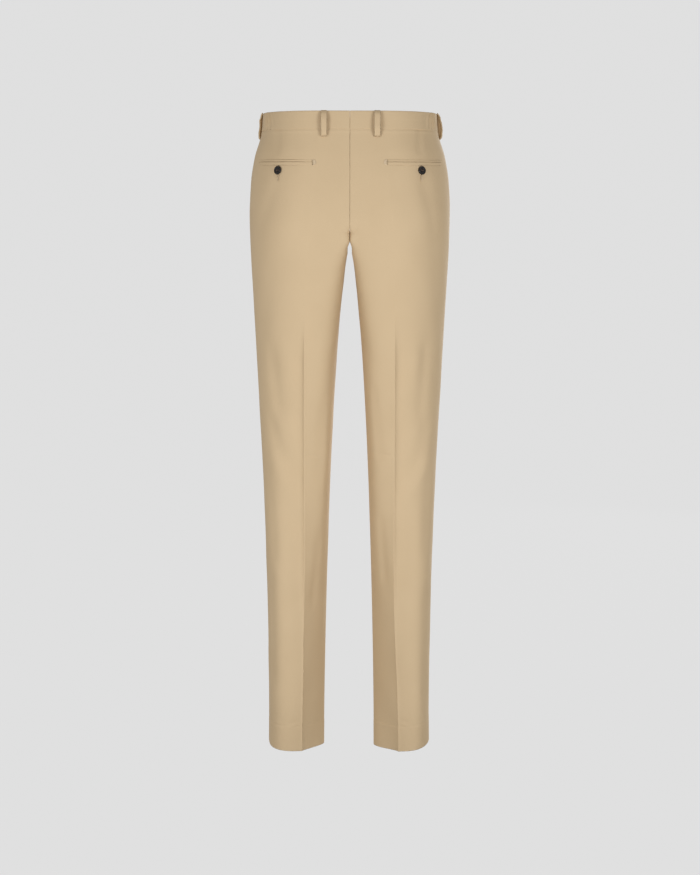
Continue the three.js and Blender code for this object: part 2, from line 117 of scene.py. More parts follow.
MOUTH = Sizes(top=45.0, bottom=-178.0, under=20.0, lift=0.5, near=16.0, open=8.0, stitch=6.0)
LOOP = Sizes(width=10.6, cloth=1.7, below=13.5, crown=0.25, groove=0.3, groove_width=1.5,
             columns=15, rows=41)
# name, side, panel, distance from the middle, how far it stands off
LOOPS = [
    ("belt_loop_back_left", 1, "back", 42.5, 7.0),
    ("belt_loop_back_right", -1, "back", 44.5, 7.0),
    ("belt_loop_side_left", 1, "side", 0, 3.2),
    ("belt_loop_side_right", -1, "side", 0, 5.6),
    ("belt_loop_front_left", 1, "front", 72.0, 7.0),
    ("belt_loop_front_right", -1, "front", 72.0, 7.0),
]
JET = Sizes(line=-66.0, upper=3.1, lower=5.1, proud=0.45, inner=61.5, outer=150.0,
            face=0.18, back=0.12, turned_in=5.0, rows=11, columns=90)
BUTTON = Sizes(radius=7.2, thick=2.6, hole=0.85, hole_ring=2.1, turns=72,
               dish=0.75, hollow=0.15, rounded=0.85, hole_depth=1.3)
BACK_BUTTON = Sizes(x=117.5, z=-79.0)
LAP = Sizes(ramp=15.0, past=38.0)
WAIST_BUTTON_PAST = 24.0
FLY = Sizes(past=5.0, lift=1.3, reach=14.0, fade=12.0, bottom=-150.0, end=-166.0,
            stitch=34.0, bend=-118.0, bend_height=42.0)
SHIELD = Sizes(cloth=1.4, over=36.0, under=28.0, bottom=-168.0)
ZIP = Sizes(thick=1.2, half=13.0, top=-19.0, bottom=-156.0, tape=0.7, sunk=0.4,
            tooth_half=2.4, tooth_step=1.5, tooth_radius=0.42)
LAYER_GAP = 0.8
PANEL_WALL = 1.5  # wall of the solids, which sets where the layers behind the fronts lie

# ---- Small helpers ----


def smooth(t):
    c = np.clip(t, 0.0, 1.0)
    return c * c * (3 - 2 * c)


def bell(distance, width):
    return np.exp(-((distance / width) ** 2))


def fall(z, start, end):
    """0 above the height start, 1 below the height end and smooth between them."""
    return smooth((start - z) / (start - end))


def unit(vectors):
    return vectors / np.maximum(np.linalg.norm(vectors, axis=-1, keepdims=True), 1e-12)


def lengths_along(points):
    """How far along their line each of the points lies."""
    steps = np.linalg.norm(np.diff(points, axis=0), axis=1)
    return np.concatenate([[0], np.cumsum(steps)])


# ---- Form ----

rows = np.array(SECTIONS, float)
row_z = rows[:, 0]


def column_slopes(values):
    """Slopes down a column of the table that let no curve overshoot its rows."""
    steps = np.diff(values) / np.diff(row_z)
    slopes = np.empty(len(values))
    slopes[0], slopes[-1] = steps[0], steps[-1]
    a, b = steps[:-1], steps[1:]
    total = np.where(np.abs(a + b) > 0, a + b, 1.0)
    slopes[1:-1] = np.where(a * b > 0, 2 * a * b / total, 0.0)
    return slopes


row_slopes = np.array([column_slopes(rows[:, i]) for i in range(rows.shape[1])]).T


def section_at(z):
    """All columns of the table at height z, by a cubic between the two nearest rows."""
    i = int(np.clip(np.sum(row_z > z) - 1, 0, len(row_z) - 2))
    span = row_z[i + 1] - row_z[i]
    t = (z - row_z[i]) / span
    weights = (2 * t**3 - 3 * t**2 + 1, t**3 - 2 * t**2 + t, 3 * t**2 - 2 * t**3, t**3 - t**2)
    parts = (rows[i], row_slopes[i] * span, rows[i + 1], row_slopes[i + 1] * span)
    values = sum(w * p for w, p in zip(weights, parts))
    return Sizes(**dict(zip(SECTION_COLUMNS, values)))


def tilt_at(z):
    return WAIST_TILT * (1 - fall(z, -BAND_HALF, TILT_END)) + HEM_TILT * fall(z, HEM_TILT_START, HEM)


def turn_at(z):
    """How far the seat seam has turned in: 0 where it starts to and 1 at the crotch."""
    return float(np.clip((RISE_START - z) / (RISE_START - CROTCH), 0, 1))


def inner_y(z, crest):
    """Where a panel's inner end lies from front to back."""
    if z <= CROTCH:
        return CROTCH_Y * (1 - INNER_DRIFT * fall(z, CROTCH, HEM))
    return CROTCH_Y + (crest - CROTCH_Y) * (1 - turn_at(z) ** RISE_ORDER) ** (1 / RISE_ORDER)


ARC_STEPS = 120


def quarter(crease, end, off, reach, full, turn=1.0):
    """A section's curve from the crease to its end. At turn 0 it ends level, at 1 front to back."""
    dx, dy = end - crease
    angle, handle = math.radians(off), reach * abs(dx)
    first = crease + handle * np.array([np.sign(dx) * math.cos(angle), np.sign(dy) * math.sin(angle)])
    across = np.array([end[0] - ACROSS_REACH * dx, end[1]])
    second = across + turn * (np.array([end[0], end[1] - full * dy]) - across)
    t = np.linspace(0, 1, ARC_STEPS + 1)[:, None]
    start, middle = crease * (1 - t) ** 3, first * 3 * t * (1 - t) ** 2
    return start + middle + second * 3 * t**2 * (1 - t) + end * t**3


def profile_at(z, panel):
    """The section of one panel at height z: its points from the inner end to the side seam."""
    section = section_at(z)
    back = panel == "back"
    behind = 1 if back else -1
    half = behind * SEAM_GAP / 2
    crease = (section.back_crease, section.back) if back else (section.front_crease, section.front)
    crease = np.array(crease)
    end_y = inner_y(z, crease[1] - behind * SEAT_DIP) + (0 if z > CROTCH else half)
    deepening = smooth((VALLEY_START - z) / VALLEY_GROWTH)
    deep = section.inner_deep * (VALLEY_SHALLOW + (1 - VALLEY_SHALLOW) * deepening)
    corner_y = behind * max(behind * end_y, behind * crease[1] - deep)
    parted = fall(z, *CLEFT)
    pressed = PRESSED * smooth((CROTCH - z) / PRESSED_WITHIN) * (1 - parted)
    inner = SEAM_GAP / 2 + max(section.inner, NOTCH_HALF) * parted - pressed
    side = np.array([section.side, section.side_y + half])
    out, off = (section.back_out, section.back_in) if back else (section.front_off,) * 2
    corner = np.array([inner, corner_y])
    turn = smooth(turn_at(z))
    inward = quarter(crease, corner, off, section.inner_reach, section.inner_full, turn)[::-1]
    if abs(corner_y - end_y) > SEAM_GAP:
        inward = np.vstack([[inner, end_y], inward])
    points = np.vstack([inward, quarter(crease, side, out, section.outer_reach, section.side_full)[1:]])
    runs = lengths_along(points)
    along = unit(np.gradient(points, axis=0))
    outward = np.stack([-along[:, 1], along[:, 0]], 1) * behind
    return Sizes(
        z=z,
        points=points,
        runs=runs,
        outward=outward,
        length=runs[-1],
        crease_run=runs[len(inward) - 1],
        straight=abs(corner_y - end_y),
    )


# How the two legs differ, left and right: the slope of the hem, higher at its outer half, and how far
# the creases lean outwards at the hem.
HEM_SKEW = {1: 0.08, -1: 0.14}
HEM_SKEW_START = -880.0
CREASE_LEAN = {1: -2.0, -1: 3.3}
CREASE_LEAN_START = -800.0
HEM_MIDDLE = 90.0
HEM_INNER, HEM_WIDTH = 42.0, 95.0


def skew_at(z, x, side):
    return HEM_SKEW[side] * fall(z, HEM_SKEW_START, HEM) * (x - HEM_MIDDLE)


def lean_at(z, x, side):
    across = np.clip((x - HEM_INNER) / HEM_WIDTH, 0, 1)
    return CREASE_LEAN[side] * fall(z, CREASE_LEAN_START, HEM) * np.sin(np.pi * across) ** 2


def on_profile(profile, run, out, side):
    """Points of the garment's surface at these runs, moved out level. Left is side 1, right is -1."""
    run = np.asarray(run, float)

    def at_run(table):
        return np.stack([np.interp(run, profile.runs, table[:, i]) for i in (0, 1)], -1)

    xy, normal = at_run(profile.points), unit(at_run(profile.outward))
    first = unit(profile.points[1] - profile.points[0])
    xy = xy + np.minimum(run, 0)[..., None] * first
    xy = xy + normal * np.asarray(out, float)[..., None]
    z = profile.z + tilt_at(profile.z) * xy[..., 1] + skew_at(profile.z, xy[..., 0], side)
    xy[..., 0] += lean_at(profile.z, xy[..., 0], side)
    return np.stack([side * xy[..., 0], xy[..., 1], z], -1)


def run_at_x(profile, x):
    return float(np.interp(x, profile.points[:, 0], profile.runs))


# ---- Meshes ----

RIM_STEPS = 3
TAPER = 0.45  # radius of a thread's tips, as a share of its own
NO_THREADS_WAY = np.array([0.31, 0.87, 0.39])  # a direction that no thread runs in


def grid_normals(points):
    return unit(np.cross(np.gradient(points, axis=0), np.gradient(points, axis=1)))


def grid_area(points):
    down = points[1:, :-1] - points[:-1, :-1]
    across = points[:-1, 1:] - points[:-1, :-1]
    return np.linalg.norm(np.cross(down, across), axis=-1).sum()


def ring_quads(total, count):
    """Faces between rings that follow each other, of count points each."""
    index = np.arange(total * count).reshape(total, count)
    beside = np.roll(index, -1, axis=1)
    return np.stack([index[:-1], beside[:-1], beside[1:], index[1:]], -1).reshape(-1, 4).tolist()


def turned_out(faces, points, which, outward):
    """The faces, all turned over if the chosen one looks the wrong way."""
    a, b, c = (points[i] for i in faces[which][:3])
    wrong = np.dot(np.cross(b - a, c - a), outward) < 0
    return [face[::-1] for face in faces] if wrong else faces


def make_object(name, vertices, faces, uv=None):
    """A smooth mesh object from vertices in millimetres."""
    mesh = bpy.data.meshes.new(name)
    mesh.from_pydata((np.asarray(vertices) * METRE).tolist(), [], faces)
    if uv is not None:
        layer = mesh.uv_layers.new(name="cloth")
        index = np.empty(len(mesh.loops), int)
        mesh.loops.foreach_get("vertex_index", index)
        layer.data.foreach_set("uv", (np.asarray(uv)[index] * METRE).ravel())
    mesh.shade_smooth()
    mesh.update()
    piece = bpy.data.objects.new(name, mesh)
    bpy.context.scene.collection.objects.link(piece)
    return piece


def cloth_shell(name, outer, inner, uv):
    """A closed thin shell between two grids of points, with rounded edges all round."""
    outer, inner, uv = (np.asarray(grid, float) for grid in (outer, inner, uv))
    row_count, column_count = outer.shape[:2]
    flat_outer, flat_inner, flat_uv = outer.reshape(-1, 3), inner.reshape(-1, 3), uv.reshape(-1, 2)
    vertices, uvs = [flat_outer, flat_inner], [flat_uv, flat_uv]
    index = np.arange(row_count * column_count).reshape(row_count, column_count)
    under = index + index.size
    faces = []

    def quads(a, b, c, d):
        faces.extend(np.stack([a, b, c, d], -1).reshape(-1, 4).tolist())

    quads(index[:-1, :-1], index[:-1, 1:], index[1:, 1:], index[1:, :-1])
    quads(under[:-1, :-1], under[1:, :-1], under[1:, 1:], under[:-1, 1:])

    # The rim: rings of points on half circles from the outer border to the inner one.
    border = np.concatenate([index[0, :-1], index[:-1, -1], index[-1, :0:-1], index[:0:-1, 0]])
    inside_of = np.concatenate([index[1, :-1], index[:-1, -2], index[-2, :0:-1], index[:0:-1, 1]])
    centre = (flat_outer[border] + flat_inner[border]) / 2
    half = (flat_outer[border] - flat_inner[border]) / 2
    beyond = flat_outer[border] - flat_outer[inside_of]
    corners = np.cumsum([0, column_count - 1, row_count - 1, column_count - 1])
    beyond[corners] = unit(beyond[corners - 1]) + unit(beyond[(corners + 1) % len(border)])
    beyond = unit(beyond - half * np.sum(beyond * half, 1, keepdims=True)
                  / np.maximum(np.sum(half * half, 1, keepdims=True), 1e-12))
    reach = np.linalg.norm(half, axis=1, keepdims=True)
    rings = [border]
    for step in range(1, RIM_STEPS + 1):
        angle = math.pi * step / (RIM_STEPS + 1)
        vertices.append(centre + half * math.cos(angle) + beyond * reach * math.sin(angle))
        uvs.append(flat_uv[border])
        rings.append(2 * index.size + (step - 1) * len(border) + np.arange(len(border)))
    rings.append(border + index.size)
    for ring, following in zip(rings, rings[1:]):
        quads(ring, np.roll(ring, -1), np.roll(following, -1), following)

    points = np.vstack(vertices)
    middle = row_count // 2, column_count // 2
    face = middle[0] * (column_count - 1) + middle[1]
    faces = turned_out(faces, points, face, outer[middle] - inner[middle])
    piece = make_object(name, points, faces, np.vstack(uvs))
    piece["outer_area"] = float(grid_area(outer)) * METRE**2
    return piece


def tube(path, radius, sides=6):
    """Vertices and faces of a closed tube along a path, for threads and the coil of the zip."""
    path = np.asarray(path, float)
    tangent = unit(np.gradient(path, axis=0))
    first = unit(np.cross(tangent, NO_THREADS_WAY))
    second = np.cross(tangent, first)
    sizes = np.full(len(path), radius)
    sizes[0] = sizes[-1] = radius * TAPER
    angles = np.linspace(0, 2 * np.pi, sides, endpoint=False)
    ring = np.cos(angles)[None, :, None] * first[:, None] + np.sin(angles)[None, :, None] * second[:, None]
    vertices = (path[:, None] + ring * sizes[:, None, None]).reshape(-1, 3)
    faces = ring_quads(len(path), sides)
    faces.append(list(range(sides))[::-1])
    faces.append([(len(path) - 1) * sides + k for k in range(sides)])
    return vertices, faces


def joined_tubes(name, paths, radius, sides=6):
    vertices, faces, start = [], [], 0
    for path in paths:
        some_vertices, some_faces = tube(path, radius, sides)
        faces += [[i + start for i in face] for face in some_faces]
        vertices.append(some_vertices)
        start += len(some_vertices)
    return make_object(name, np.vstack(vertices), faces)


# ---- Camera, light and floor ----

scene = bpy.context.scene
scene.view_settings.view_transform = "Standard"

CAMERA_PLACE = Vector((0.0, 4.6, 0.1))
CAMERA_AIM = Vector((-0.001, 0.0, -0.5318))
CAMERA_ROLL = math.radians(0.10)
SENSOR = 36.0
FOCUS_SHARE = 2731.0 / 875.0  # focal length as a share of the picture's long side


def make_camera():
    data = bpy.data.cameras.new("camera")
    data.sensor_width = SENSOR
    data.lens = SENSOR * FOCUS_SHARE
    data.dof.use_dof = False
    camera = bpy.data.objects.new("camera", data)
    camera.location = CAMERA_PLACE
    camera.rotation_mode = "QUATERNION"
    aimed = (CAMERA_AIM - CAMERA_PLACE).to_track_quat("-Z", "Y")
    camera.rotation_quaternion = aimed @ Quaternion((0, 0, 1), CAMERA_ROLL)
    scene.collection.objects.link(camera)
    scene.camera = camera


def area_light(name, place, aim, width, height, power, colour=(1, 1, 1)):
    data = bpy.data.lights.new(name, "AREA")
    data.shape = "RECTANGLE"
    data.size, data.size_y = width, height
    data.energy = power
    data.color = colour
    light = bpy.data.objects.new(name, data)
    light.location = place
    light.rotation_mode = "QUATERNION"
    light.rotation_quaternion = (Vector(aim) - Vector(place)).to_track_quat("-Z", "Y")
    light.visible_camera = False
    scene.collection.objects.link(light)


AMBIENT = 0.40
AMBIENT_COLOUR = (1.04, 1.0, 0.93, 1)  # light that comes back off pale paper and the cloth itself
KEY_COLOUR = (0.98, 1.0, 1.06)
MIDDLE = Vector((0.0, 0.0, -0.53))
KEY = Sizes(turn=31.0, distance=1.5, height=0.10, width=0.5, tall=0.7, power=8.6)
FRONT_KEY = Sizes(aside=-1.4, distance=4.0, height=0.6, width=1.8, tall=2.4, power=112.0)


def make_light():
    """A pale surround, two soft lights behind the wearer and one in front."""
    world = bpy.data.worlds.new("studio")
    world.use_nodes = True
    background = world.node_tree.nodes["Background"]
    background.inputs["Color"].default_value = AMBIENT_COLOUR
    background.inputs["Strength"].default_value = AMBIENT
    scene.world = world
    for word, hand in SIDES:
        turn = math.radians(KEY.turn) * hand
        away = Vector((math.sin(turn), math.cos(turn), 0)) * KEY.distance
        place = MIDDLE + away + Vector((0, 0, KEY.height))
        area_light(f"key_{word}", place, MIDDLE, KEY.width, KEY.tall, KEY.power, KEY_COLOUR)
    place = MIDDLE + Vector((FRONT_KEY.aside, -FRONT_KEY.distance, FRONT_KEY.height))
    area_light("key_front", place, MIDDLE, FRONT_KEY.width, FRONT_KEY.tall, FRONT_KEY.power)


# In metres. The floor lies below the hems, because the waist holds the trousers up.
STAGE = Sizes(radius=7.5, height=11.0, curve=2.5, below=0.30, inner_rings=(0.0, 1.5, 3.0))
STAGE_STEPS = Sizes(curve=13, round=96)


def make_stage():
    """A round floor that curves up into a wall all round, under a flat ceiling."""
    floor = HEM * METRE - STAGE.below
    curve = np.linspace(0, math.pi / 2, STAGE_STEPS.curve)
    radii = [*STAGE.inner_rings, *(STAGE.radius - STAGE.curve + STAGE.curve * np.sin(curve))]
    heights = [floor] * len(STAGE.inner_rings) + [*(floor + STAGE.curve * (1 - np.cos(curve)))]
    radii += [STAGE.radius, 0.0]
    heights += [floor + STAGE.height] * 2
    turns = np.linspace(0, 2 * np.pi, STAGE_STEPS.round, endpoint=False)
    vertices = [
        [radius * math.cos(a), radius * math.sin(a), height]
        for radius, height in zip(radii, heights) for a in turns
    ]
    stage = make_object("stage", np.array(vertices) / METRE, ring_quads(len(radii), len(turns)))
    stage.visible_diffuse = False
    stage.visible_shadow = False
    stage.data.materials.append(PAPER)


# ---- Materials ----


class Nodes:
    """Adds shader nodes to a new material by short calls."""

    def __init__(self, name):
        self.material = bpy.data.materials.new(name)
        self.material.use_nodes = True
        self.tree = self.material.node_tree
        self.shader = self.tree.nodes["Principled BSDF"]

    def add(self, kind, **settings):
        node = self.tree.nodes.new(kind)
        for key, value in settings.items():
            if key in node.inputs:
                node.inputs[key].default_value = value
            else:
                setattr(node, key, value)
        return node

    def link(self, source, target):
        self.tree.links.new(source, target)

    def set(self, **values):
        for key, value in values.items():
            self.shader.inputs[key.replace("_", " ")].default_value = value

    def feed(self, **sockets):
        for key, socket in sockets.items():
            self.link(socket, self.shader.inputs[key.replace("_", " ")])

    def place(self):
        return self.add("ShaderNodeTexCoord").outputs["Object"]

    def over(self, where, kind, output, **settings):
        """An output of a new node that varies over these coordinates."""
        node = self.add(kind, **settings)
        self.link(where, node.inputs["Vector"])
        return node.outputs[output]

    def mapped(self, where, **settings):
        return self.over(where, "ShaderNodeMapping", "Vector", **settings)

    def noise(self, where, scale, detail=2.0):
        return self.over(where, "ShaderNodeTexNoise", "Fac", Scale=scale, Detail=detail)

    def ramp(self, factor, low, high, start=0.0, stop=1.0):
        """A colour by a factor. One number stands for a grey."""
        node = self.add("ShaderNodeValToRGB")
        for element, place, colour in zip(node.color_ramp.elements, (start, stop), (low, high)):
            element.position = place
            element.color = (*np.broadcast_to(colour, 3), 1)
        self.link(factor, node.inputs["Fac"])
        return node.outputs["Color"]

    def bands(self, where, length, direction="X"):
        """Waves this many millimetres long."""
        scale = 2 * math.pi / (WAVE_NODE_TURNS * length * METRE)
        return self.over(where, "ShaderNodeTexWave", "Fac", Scale=scale, bands_direction=direction)

    def times(self, a, b):
        node = self.add("ShaderNodeMix", data_type="RGBA", blend_type="MULTIPLY")
        node.inputs["Factor"].default_value = 1.0
        self.link(a, node.inputs[6])
        self.link(b, node.inputs[7])
        return node.outputs[2]

    def bump(self, height, distance, strength, before=None):
        node = self.add("ShaderNodeBump", Strength=strength, Distance=distance)
        self.link(height, node.inputs["Height"])
        if before is not None:
            self.link(before, node.inputs["Normal"])
        return node.outputs["Normal"]


WAVE_NODE_TURNS = 20  # a wave texture's phase over a metre at scale 1, in radians
TWILL_SLANT = math.radians(58)


def woven(name, light, dark, thread=0.62, sheen=0.03):
    """Fine twill: slanting ribs and faint crosswise threads on the cloth's own grain."""
    n = Nodes(name)
    grain = n.add("ShaderNodeUVMap", uv_map="cloth").outputs["UV"]
    ribs = n.bands(n.mapped(grain, Rotation=(0, 0, TWILL_SLANT)), thread)
    weft = n.bands(grain, 0.5 * thread, "Y")
    cloudy = n.noise(n.place(), 16.0, 3.0)
    fibres = n.noise(grain, 900.0)
    ground = n.ramp(cloudy, dark, light, 0.25, 0.75)
    tinted = n.times(ground, n.ramp(fibres, 0.93, 1.04, 0.3, 0.7))
    normal = n.bump(weft, 0.00004, 0.25)
    normal = n.bump(ribs, 0.00006, 0.35, normal)
    n.feed(
        Base_Color=n.times(tinted, n.ramp(ribs, 0.965, 1.02)),
        Roughness=n.ramp(fibres, 0.78, 0.92, 0.3, 0.7),
        Normal=n.bump(fibres, 0.00008, 0.2, normal),
    )
    n.set(Sheen_Weight=sheen, Sheen_Roughness=0.45, Specular_IOR_Level=0.12,
          Sheen_Tint=(1.0, 0.93, 0.8, 1))
    return n.material


def sewing_thread(name, colour):
    n = Nodes(name)
    strands = n.noise(n.place(), 2600.0)
    dark = tuple(0.86 * c for c in colour)
    n.feed(Base_Color=n.ramp(strands, dark, colour, 0.3, 0.7), Normal=n.bump(strands, 0.00005, 0.4))
    n.set(Roughness=0.55, Sheen_Weight=0.1)
    return n.material


def polished_horn(name):
    n = Nodes(name)
    streaks = n.noise(n.mapped(n.place(), Scale=(1.0, 1.0, 0.35)), 420.0, 4.0)
    fine = n.noise(n.place(), 2400.0)
    body = n.ramp(streaks, (0.004, 0.0028, 0.002), (0.03, 0.013, 0.006), 0.45, 0.85)
    speck = n.ramp(fine, 0.9, (1.1, 1.08, 1.05), 0.35, 0.65)
    n.feed(
        Base_Color=n.times(body, speck),
        Roughness=n.ramp(fine, 0.16, 0.26, 0.3, 0.7),
        Normal=n.bump(streaks, 0.00004, 0.25),
    )
    n.set(Specular_IOR_Level=0.2, Coat_Weight=0.25, Coat_Roughness=0.05)
    return n.material


def studio_paper(name):
    """The pale floor and wall. Most of its brightness is its own, so that it looks even."""
    n = Nodes(name)
    n.feed(Base_Color=n.ramp(n.noise(n.place(), 40.0), 0.003, 0.004))
    n.set(Roughness=1.0, Specular_IOR_Level=0.0, Emission_Strength=1.0,
          Emission_Color=(0.742, 0.742, 0.742, 1))
    return n.material


WOOL = woven("beige_suiting", (0.625, 0.476, 0.296), (0.605, 0.458, 0.282))
TAPE = woven("zip_tape_cloth", (0.50, 0.39, 0.25), (0.47, 0.36, 0.23), thread=0.9, sheen=0.05)
THREAD = sewing_thread("beige_thread", (0.66, 0.52, 0.34))
DARK_THREAD = sewing_thread("brown_thread", (0.10, 0.055, 0.03))
HORN = polished_horn("brown_horn")
PAPER = studio_paper("studio_paper")


def finish_piece(piece, material, slot, *nodes):
    piece.data.materials.append(material)
    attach(piece, "root")
    if nodes:
        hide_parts(*nodes)


# ---- Folds and other relief of the panels ----

# Soft troughs and ridges. from_s, to_s: their ends across, measured along the cloth from the crease
# and positive towards the side seam. from_z, to_z: their ends in height. side 0 is both legs.
FOLD_DEPTH = 2.2  # all the wide folds are deepened by this
WIDE_FOLD = 4.0
FOLD_ENDS = 1.6  # a fold dies away past its ends over this many times its width
FOLD_COLUMNS = "panel side from_s from_z to_s to_z width height".split()
FOLDS = [
    # outer half of the thigh and knee, back
    ["back", 1, 62, -385, 44, -470, 13, -1.0],
    ["back", 1, 60, -500, 40, -548, 12, -1.1],
    ["back", 1, 60, -630, 54, -720, 12, -0.8],
    ["back", 1, 24, -405, 12, -470, 14, 0.6],
    ["back", 1, 46, -574, 14, -632, 15, 0.9],
    ["back", 1, 22, -500, 12, -560, 12, 0.5],
    ["back", -1, 56, -380, 46, -478, 12, -1.1],
    ["back", -1, 54, -508, 38, -566, 12, -0.9],
    ["back", -1, 63, -600, 56, -705, 11, -0.8],
    ["back", -1, 30, -410, 14, -480, 15, 0.7],
    ["back", -1, 52, -572, 26, -622, 12, 0.8],
    ["back", -1, 20, -610, 12, -660, 14, 0.5],
    # inner half of the thigh and knee, back
    ["back", 1, -34, -470, -26, -590, 10, -0.7],
    ["back", 1, -30, -700, -22, -800, 9, -0.6],
    ["back", -1, -36, -450, -27, -545, 10, -0.8],
    ["back", -1, -26, -670, -22, -760, 9, -0.7],
    # seat
    ["back", -1, -66, -120, -60, -186, 11, -0.8],
    ["back", 1, -62, -150, -50, -192, 12, -0.5],
    ["back", 1, -20, -60, -26, -96, 16, 0.5],
    ["back", -1, 4, -86, 2, -128, 18, 0.6],
    ["back", 1, 66, -92, 84, -140, 14, -0.6],
    ["back", -1, 70, -100, 82, -168, 13, -0.8],
    # lower leg, back
    ["back", 1, 62, -770, 58, -930, 13, -0.7],
    ["back", -1, 60, -800, 57, -960, 12, -0.6],
    # fronts: drag lines at the hip, a break above the knee and long soft folds
    ["front", 1, -44, -120, -20, -190, 13, -0.8],
    ["front", -1, -46, -112, -24, -176, 12, -0.7],
    ["front", 1, -62, -186, -30, -224, 9, -0.9],
    ["front", -1, -60, -182, -34, -230, 10, -0.8],
    ["front", 1, 40, -320, 28, -430, 13, -0.8],
    ["front", -1, 42, -290, 26, -410, 14, -0.9],
    ["front", 1, -30, -480, -20, -560, 11, -0.7],
    ["front", -1, -28, -500, -22, -590, 10, -0.6],
    ["front", 1, 34, -560, 16, -610, 10, -0.7],
    ["front", -1, 30, -545, 12, -600, 11, -0.8],
    ["front", 0, 38, -760, 36, -940, 12, -0.5],
    # small pinched wrinkles behind the knees
    ["back", 1, -10, -551, -17, -554, 1.8, -0.8],
    ["back", 1, -9, -556, -20, -560, 2.2, 0.5],
    ["back", -1, -11, -550, -19, -549, 1.7, -0.8],
    ["back", -1, -10, -555, -18, -557, 2.2, 0.5],
    # pulled places where the hem is stitched
    ["back", 1, 8, -1008, 22, -1012, 2.0, -0.4],
    ["back", 1, 12, -1014, 24, -1018, 1.8, 0.35],
    ["back", 1, 30, -1009, 44, -1007, 2.4, -0.25],
    ["back", -1, 7, -1007, 17, -1010, 2.0, -0.4],
    ["back", -1, 9, -1014, 21, -1017, 1.8, 0.35],
    ["back", -1, 34, -1011, 46, -1010, 2.4, -0.25],
    ["front", 1, -20, -1009, -8, -1012, 2.0, -0.3],
    ["front", -1, 10, -1008, 24, -1011, 2.2, -0.3],
]

# Gentle waves of the whole cloth: length across, length down, phase and height.
WAVES = [
    (95, 230, 0.4, 0.22),
    (61, 150, 2.1, 0.16),
    (140, 88, 4.0, 0.14),
    (47, 320, 5.2, 0.10),
]
WAVE_SHIFT = 1.3  # phase that sets the two legs apart

# The pressed crease: its crest, the drop just outside it and the widths of these, high and low on
# the leg. The drop is made up again within the level width.
CREASE = Sizes(crest=(2.6, 1.0), drop=(6.6, 1.0), edge=(4.4, 1.5), inner=(34.0, 4.0), level=44.0)
CREASE_FADE = {"back": (-300.0, -400.0), "front": (-120.0, -230.0)}
CREASE_LOW = (-690.0, -890.0)  # between these heights the high sizes give way to the low ones
WELT = Sizes(width=12.0, height=0.18, edge=3.0)
DART = Sizes(x={1: 119.0, -1: 114.0}, bottom=-58.0, depth={1: 1.1, -1: 2.0}, width=4.0, fade=10.0)
# The hem is held by a line of prick stitches, and stands out a little where it is turned up.
HEM_STITCH = Sizes(above=43.0, step=9.0, depth=0.3, width=1.7, line=0.4, turned_up=0.2, edge=3.0)
# The leg's ends turn in a little.
HEM_ROLL = Sizes(above=88.0, depth={"back": 10.0, "front": 4.0}, drop=2.2, even=60.0, power=1.6)
# The waist seam's turned-down edge shows as a faint ridge below the band.
WAIST_RIDGE = Sizes(below=4.2, width=1.8, height=0.4)
# Where the back pocket's bag prints through and where its mouth sinks in: height above the mouth,
# width and depth. They fade out at the mouth's ends.
POCKET_LINES = [(10.5, 1.1, 0.22), (7.0, 1.0, 0.18), (0.0, 7.0, 0.25)]
POCKET_FADE = 8.0
EDGE_REACH = 14.0  # folds and waves die away this near the edges of a panel


def fold_relief(panel, side, s, z):
    relief = np.zeros_like(s)
    for row in FOLDS:
        fold = Sizes(**dict(zip(FOLD_COLUMNS, row)))
        depth = fold.height * (FOLD_DEPTH if fold.width > WIDE_FOLD else 1)
        if fold.panel != panel or fold.side not in (0, side):
            continue
        start = np.array([fold.from_s, fold.from_z], float)
        span = np.array([fold.to_s, fold.to_z], float) - start
        length = np.linalg.norm(span)
        along = ((s - start[0]) * span[0] + (z - start[1]) * span[1]) / length
        across = ((s - start[0]) * span[1] - (z - start[1]) * span[0]) / length
        beyond = np.maximum(np.maximum(-along, along - length), 0)
        relief += depth * bell(across, fold.width) * bell(beyond, FOLD_ENDS * fold.width)
    return relief


def wave_relief(side, s, z, window):
    relief = np.zeros_like(s)
    for across, down, phase, height in WAVES:
        relief += height * np.sin(2 * np.pi * (s / across + z / down) + phase + WAVE_SHIFT * side)
    return relief * window


def crease_relief(panel, s, z):
    strength = fall(z, *CREASE_FADE[panel])
    low = fall(z, *CREASE_LOW)

    def at_height(sizes):
        return sizes[0] + (sizes[1] - sizes[0]) * low

    crest, edge = at_height(CREASE.crest), at_height(CREASE.edge)
    if panel == "front":
        return strength * crest * np.exp(-np.abs(s) / edge)
    drop = at_height(CREASE.drop)
    outside = crest - drop * (1 - np.exp(-np.maximum(s, 0) / edge))
    outside = outside + (drop - crest) * smooth(s / CREASE.level)
    inside = crest * np.exp(np.minimum(s, 0) / at_height(CREASE.inner))
    return strength * np.where(s > 0, outside, inside)


def hem_relief(run, z):
    line = HEM + HEM_STITCH.above
    stitched = bell(z - line, HEM_STITCH.width)
    pricks = bell((run % HEM_STITCH.step) - HEM_STITCH.step / 2, HEM_STITCH.width)
    turned_up = HEM_STITCH.turned_up * smooth((line + 1 - z) / HEM_STITCH.edge)
    return turned_up - HEM_STITCH.depth * stitched * (HEM_STITCH.line + pricks)


def waist_relief(z):
    return WAIST_RIDGE.height * bell(z - (-BAND_HALF - WAIST_RIDGE.below), WAIST_RIDGE.width)


def pocket_relief(side, x, z):
    """The back pocket's lines, and the dart that runs down to it."""
    within = smooth((x - JET.inner + 6) / POCKET_FADE) * smooth((JET.outer + 4 - x) / POCKET_FADE)
    lines = sum(-depth * bell(z - (JET.line + up), width) for up, width, depth in POCKET_LINES)
    dart = -DART.depth[side] * bell(x - DART.x[side], DART.width) * smooth((z - DART.bottom) / DART.fade)
    return within * lines + dart


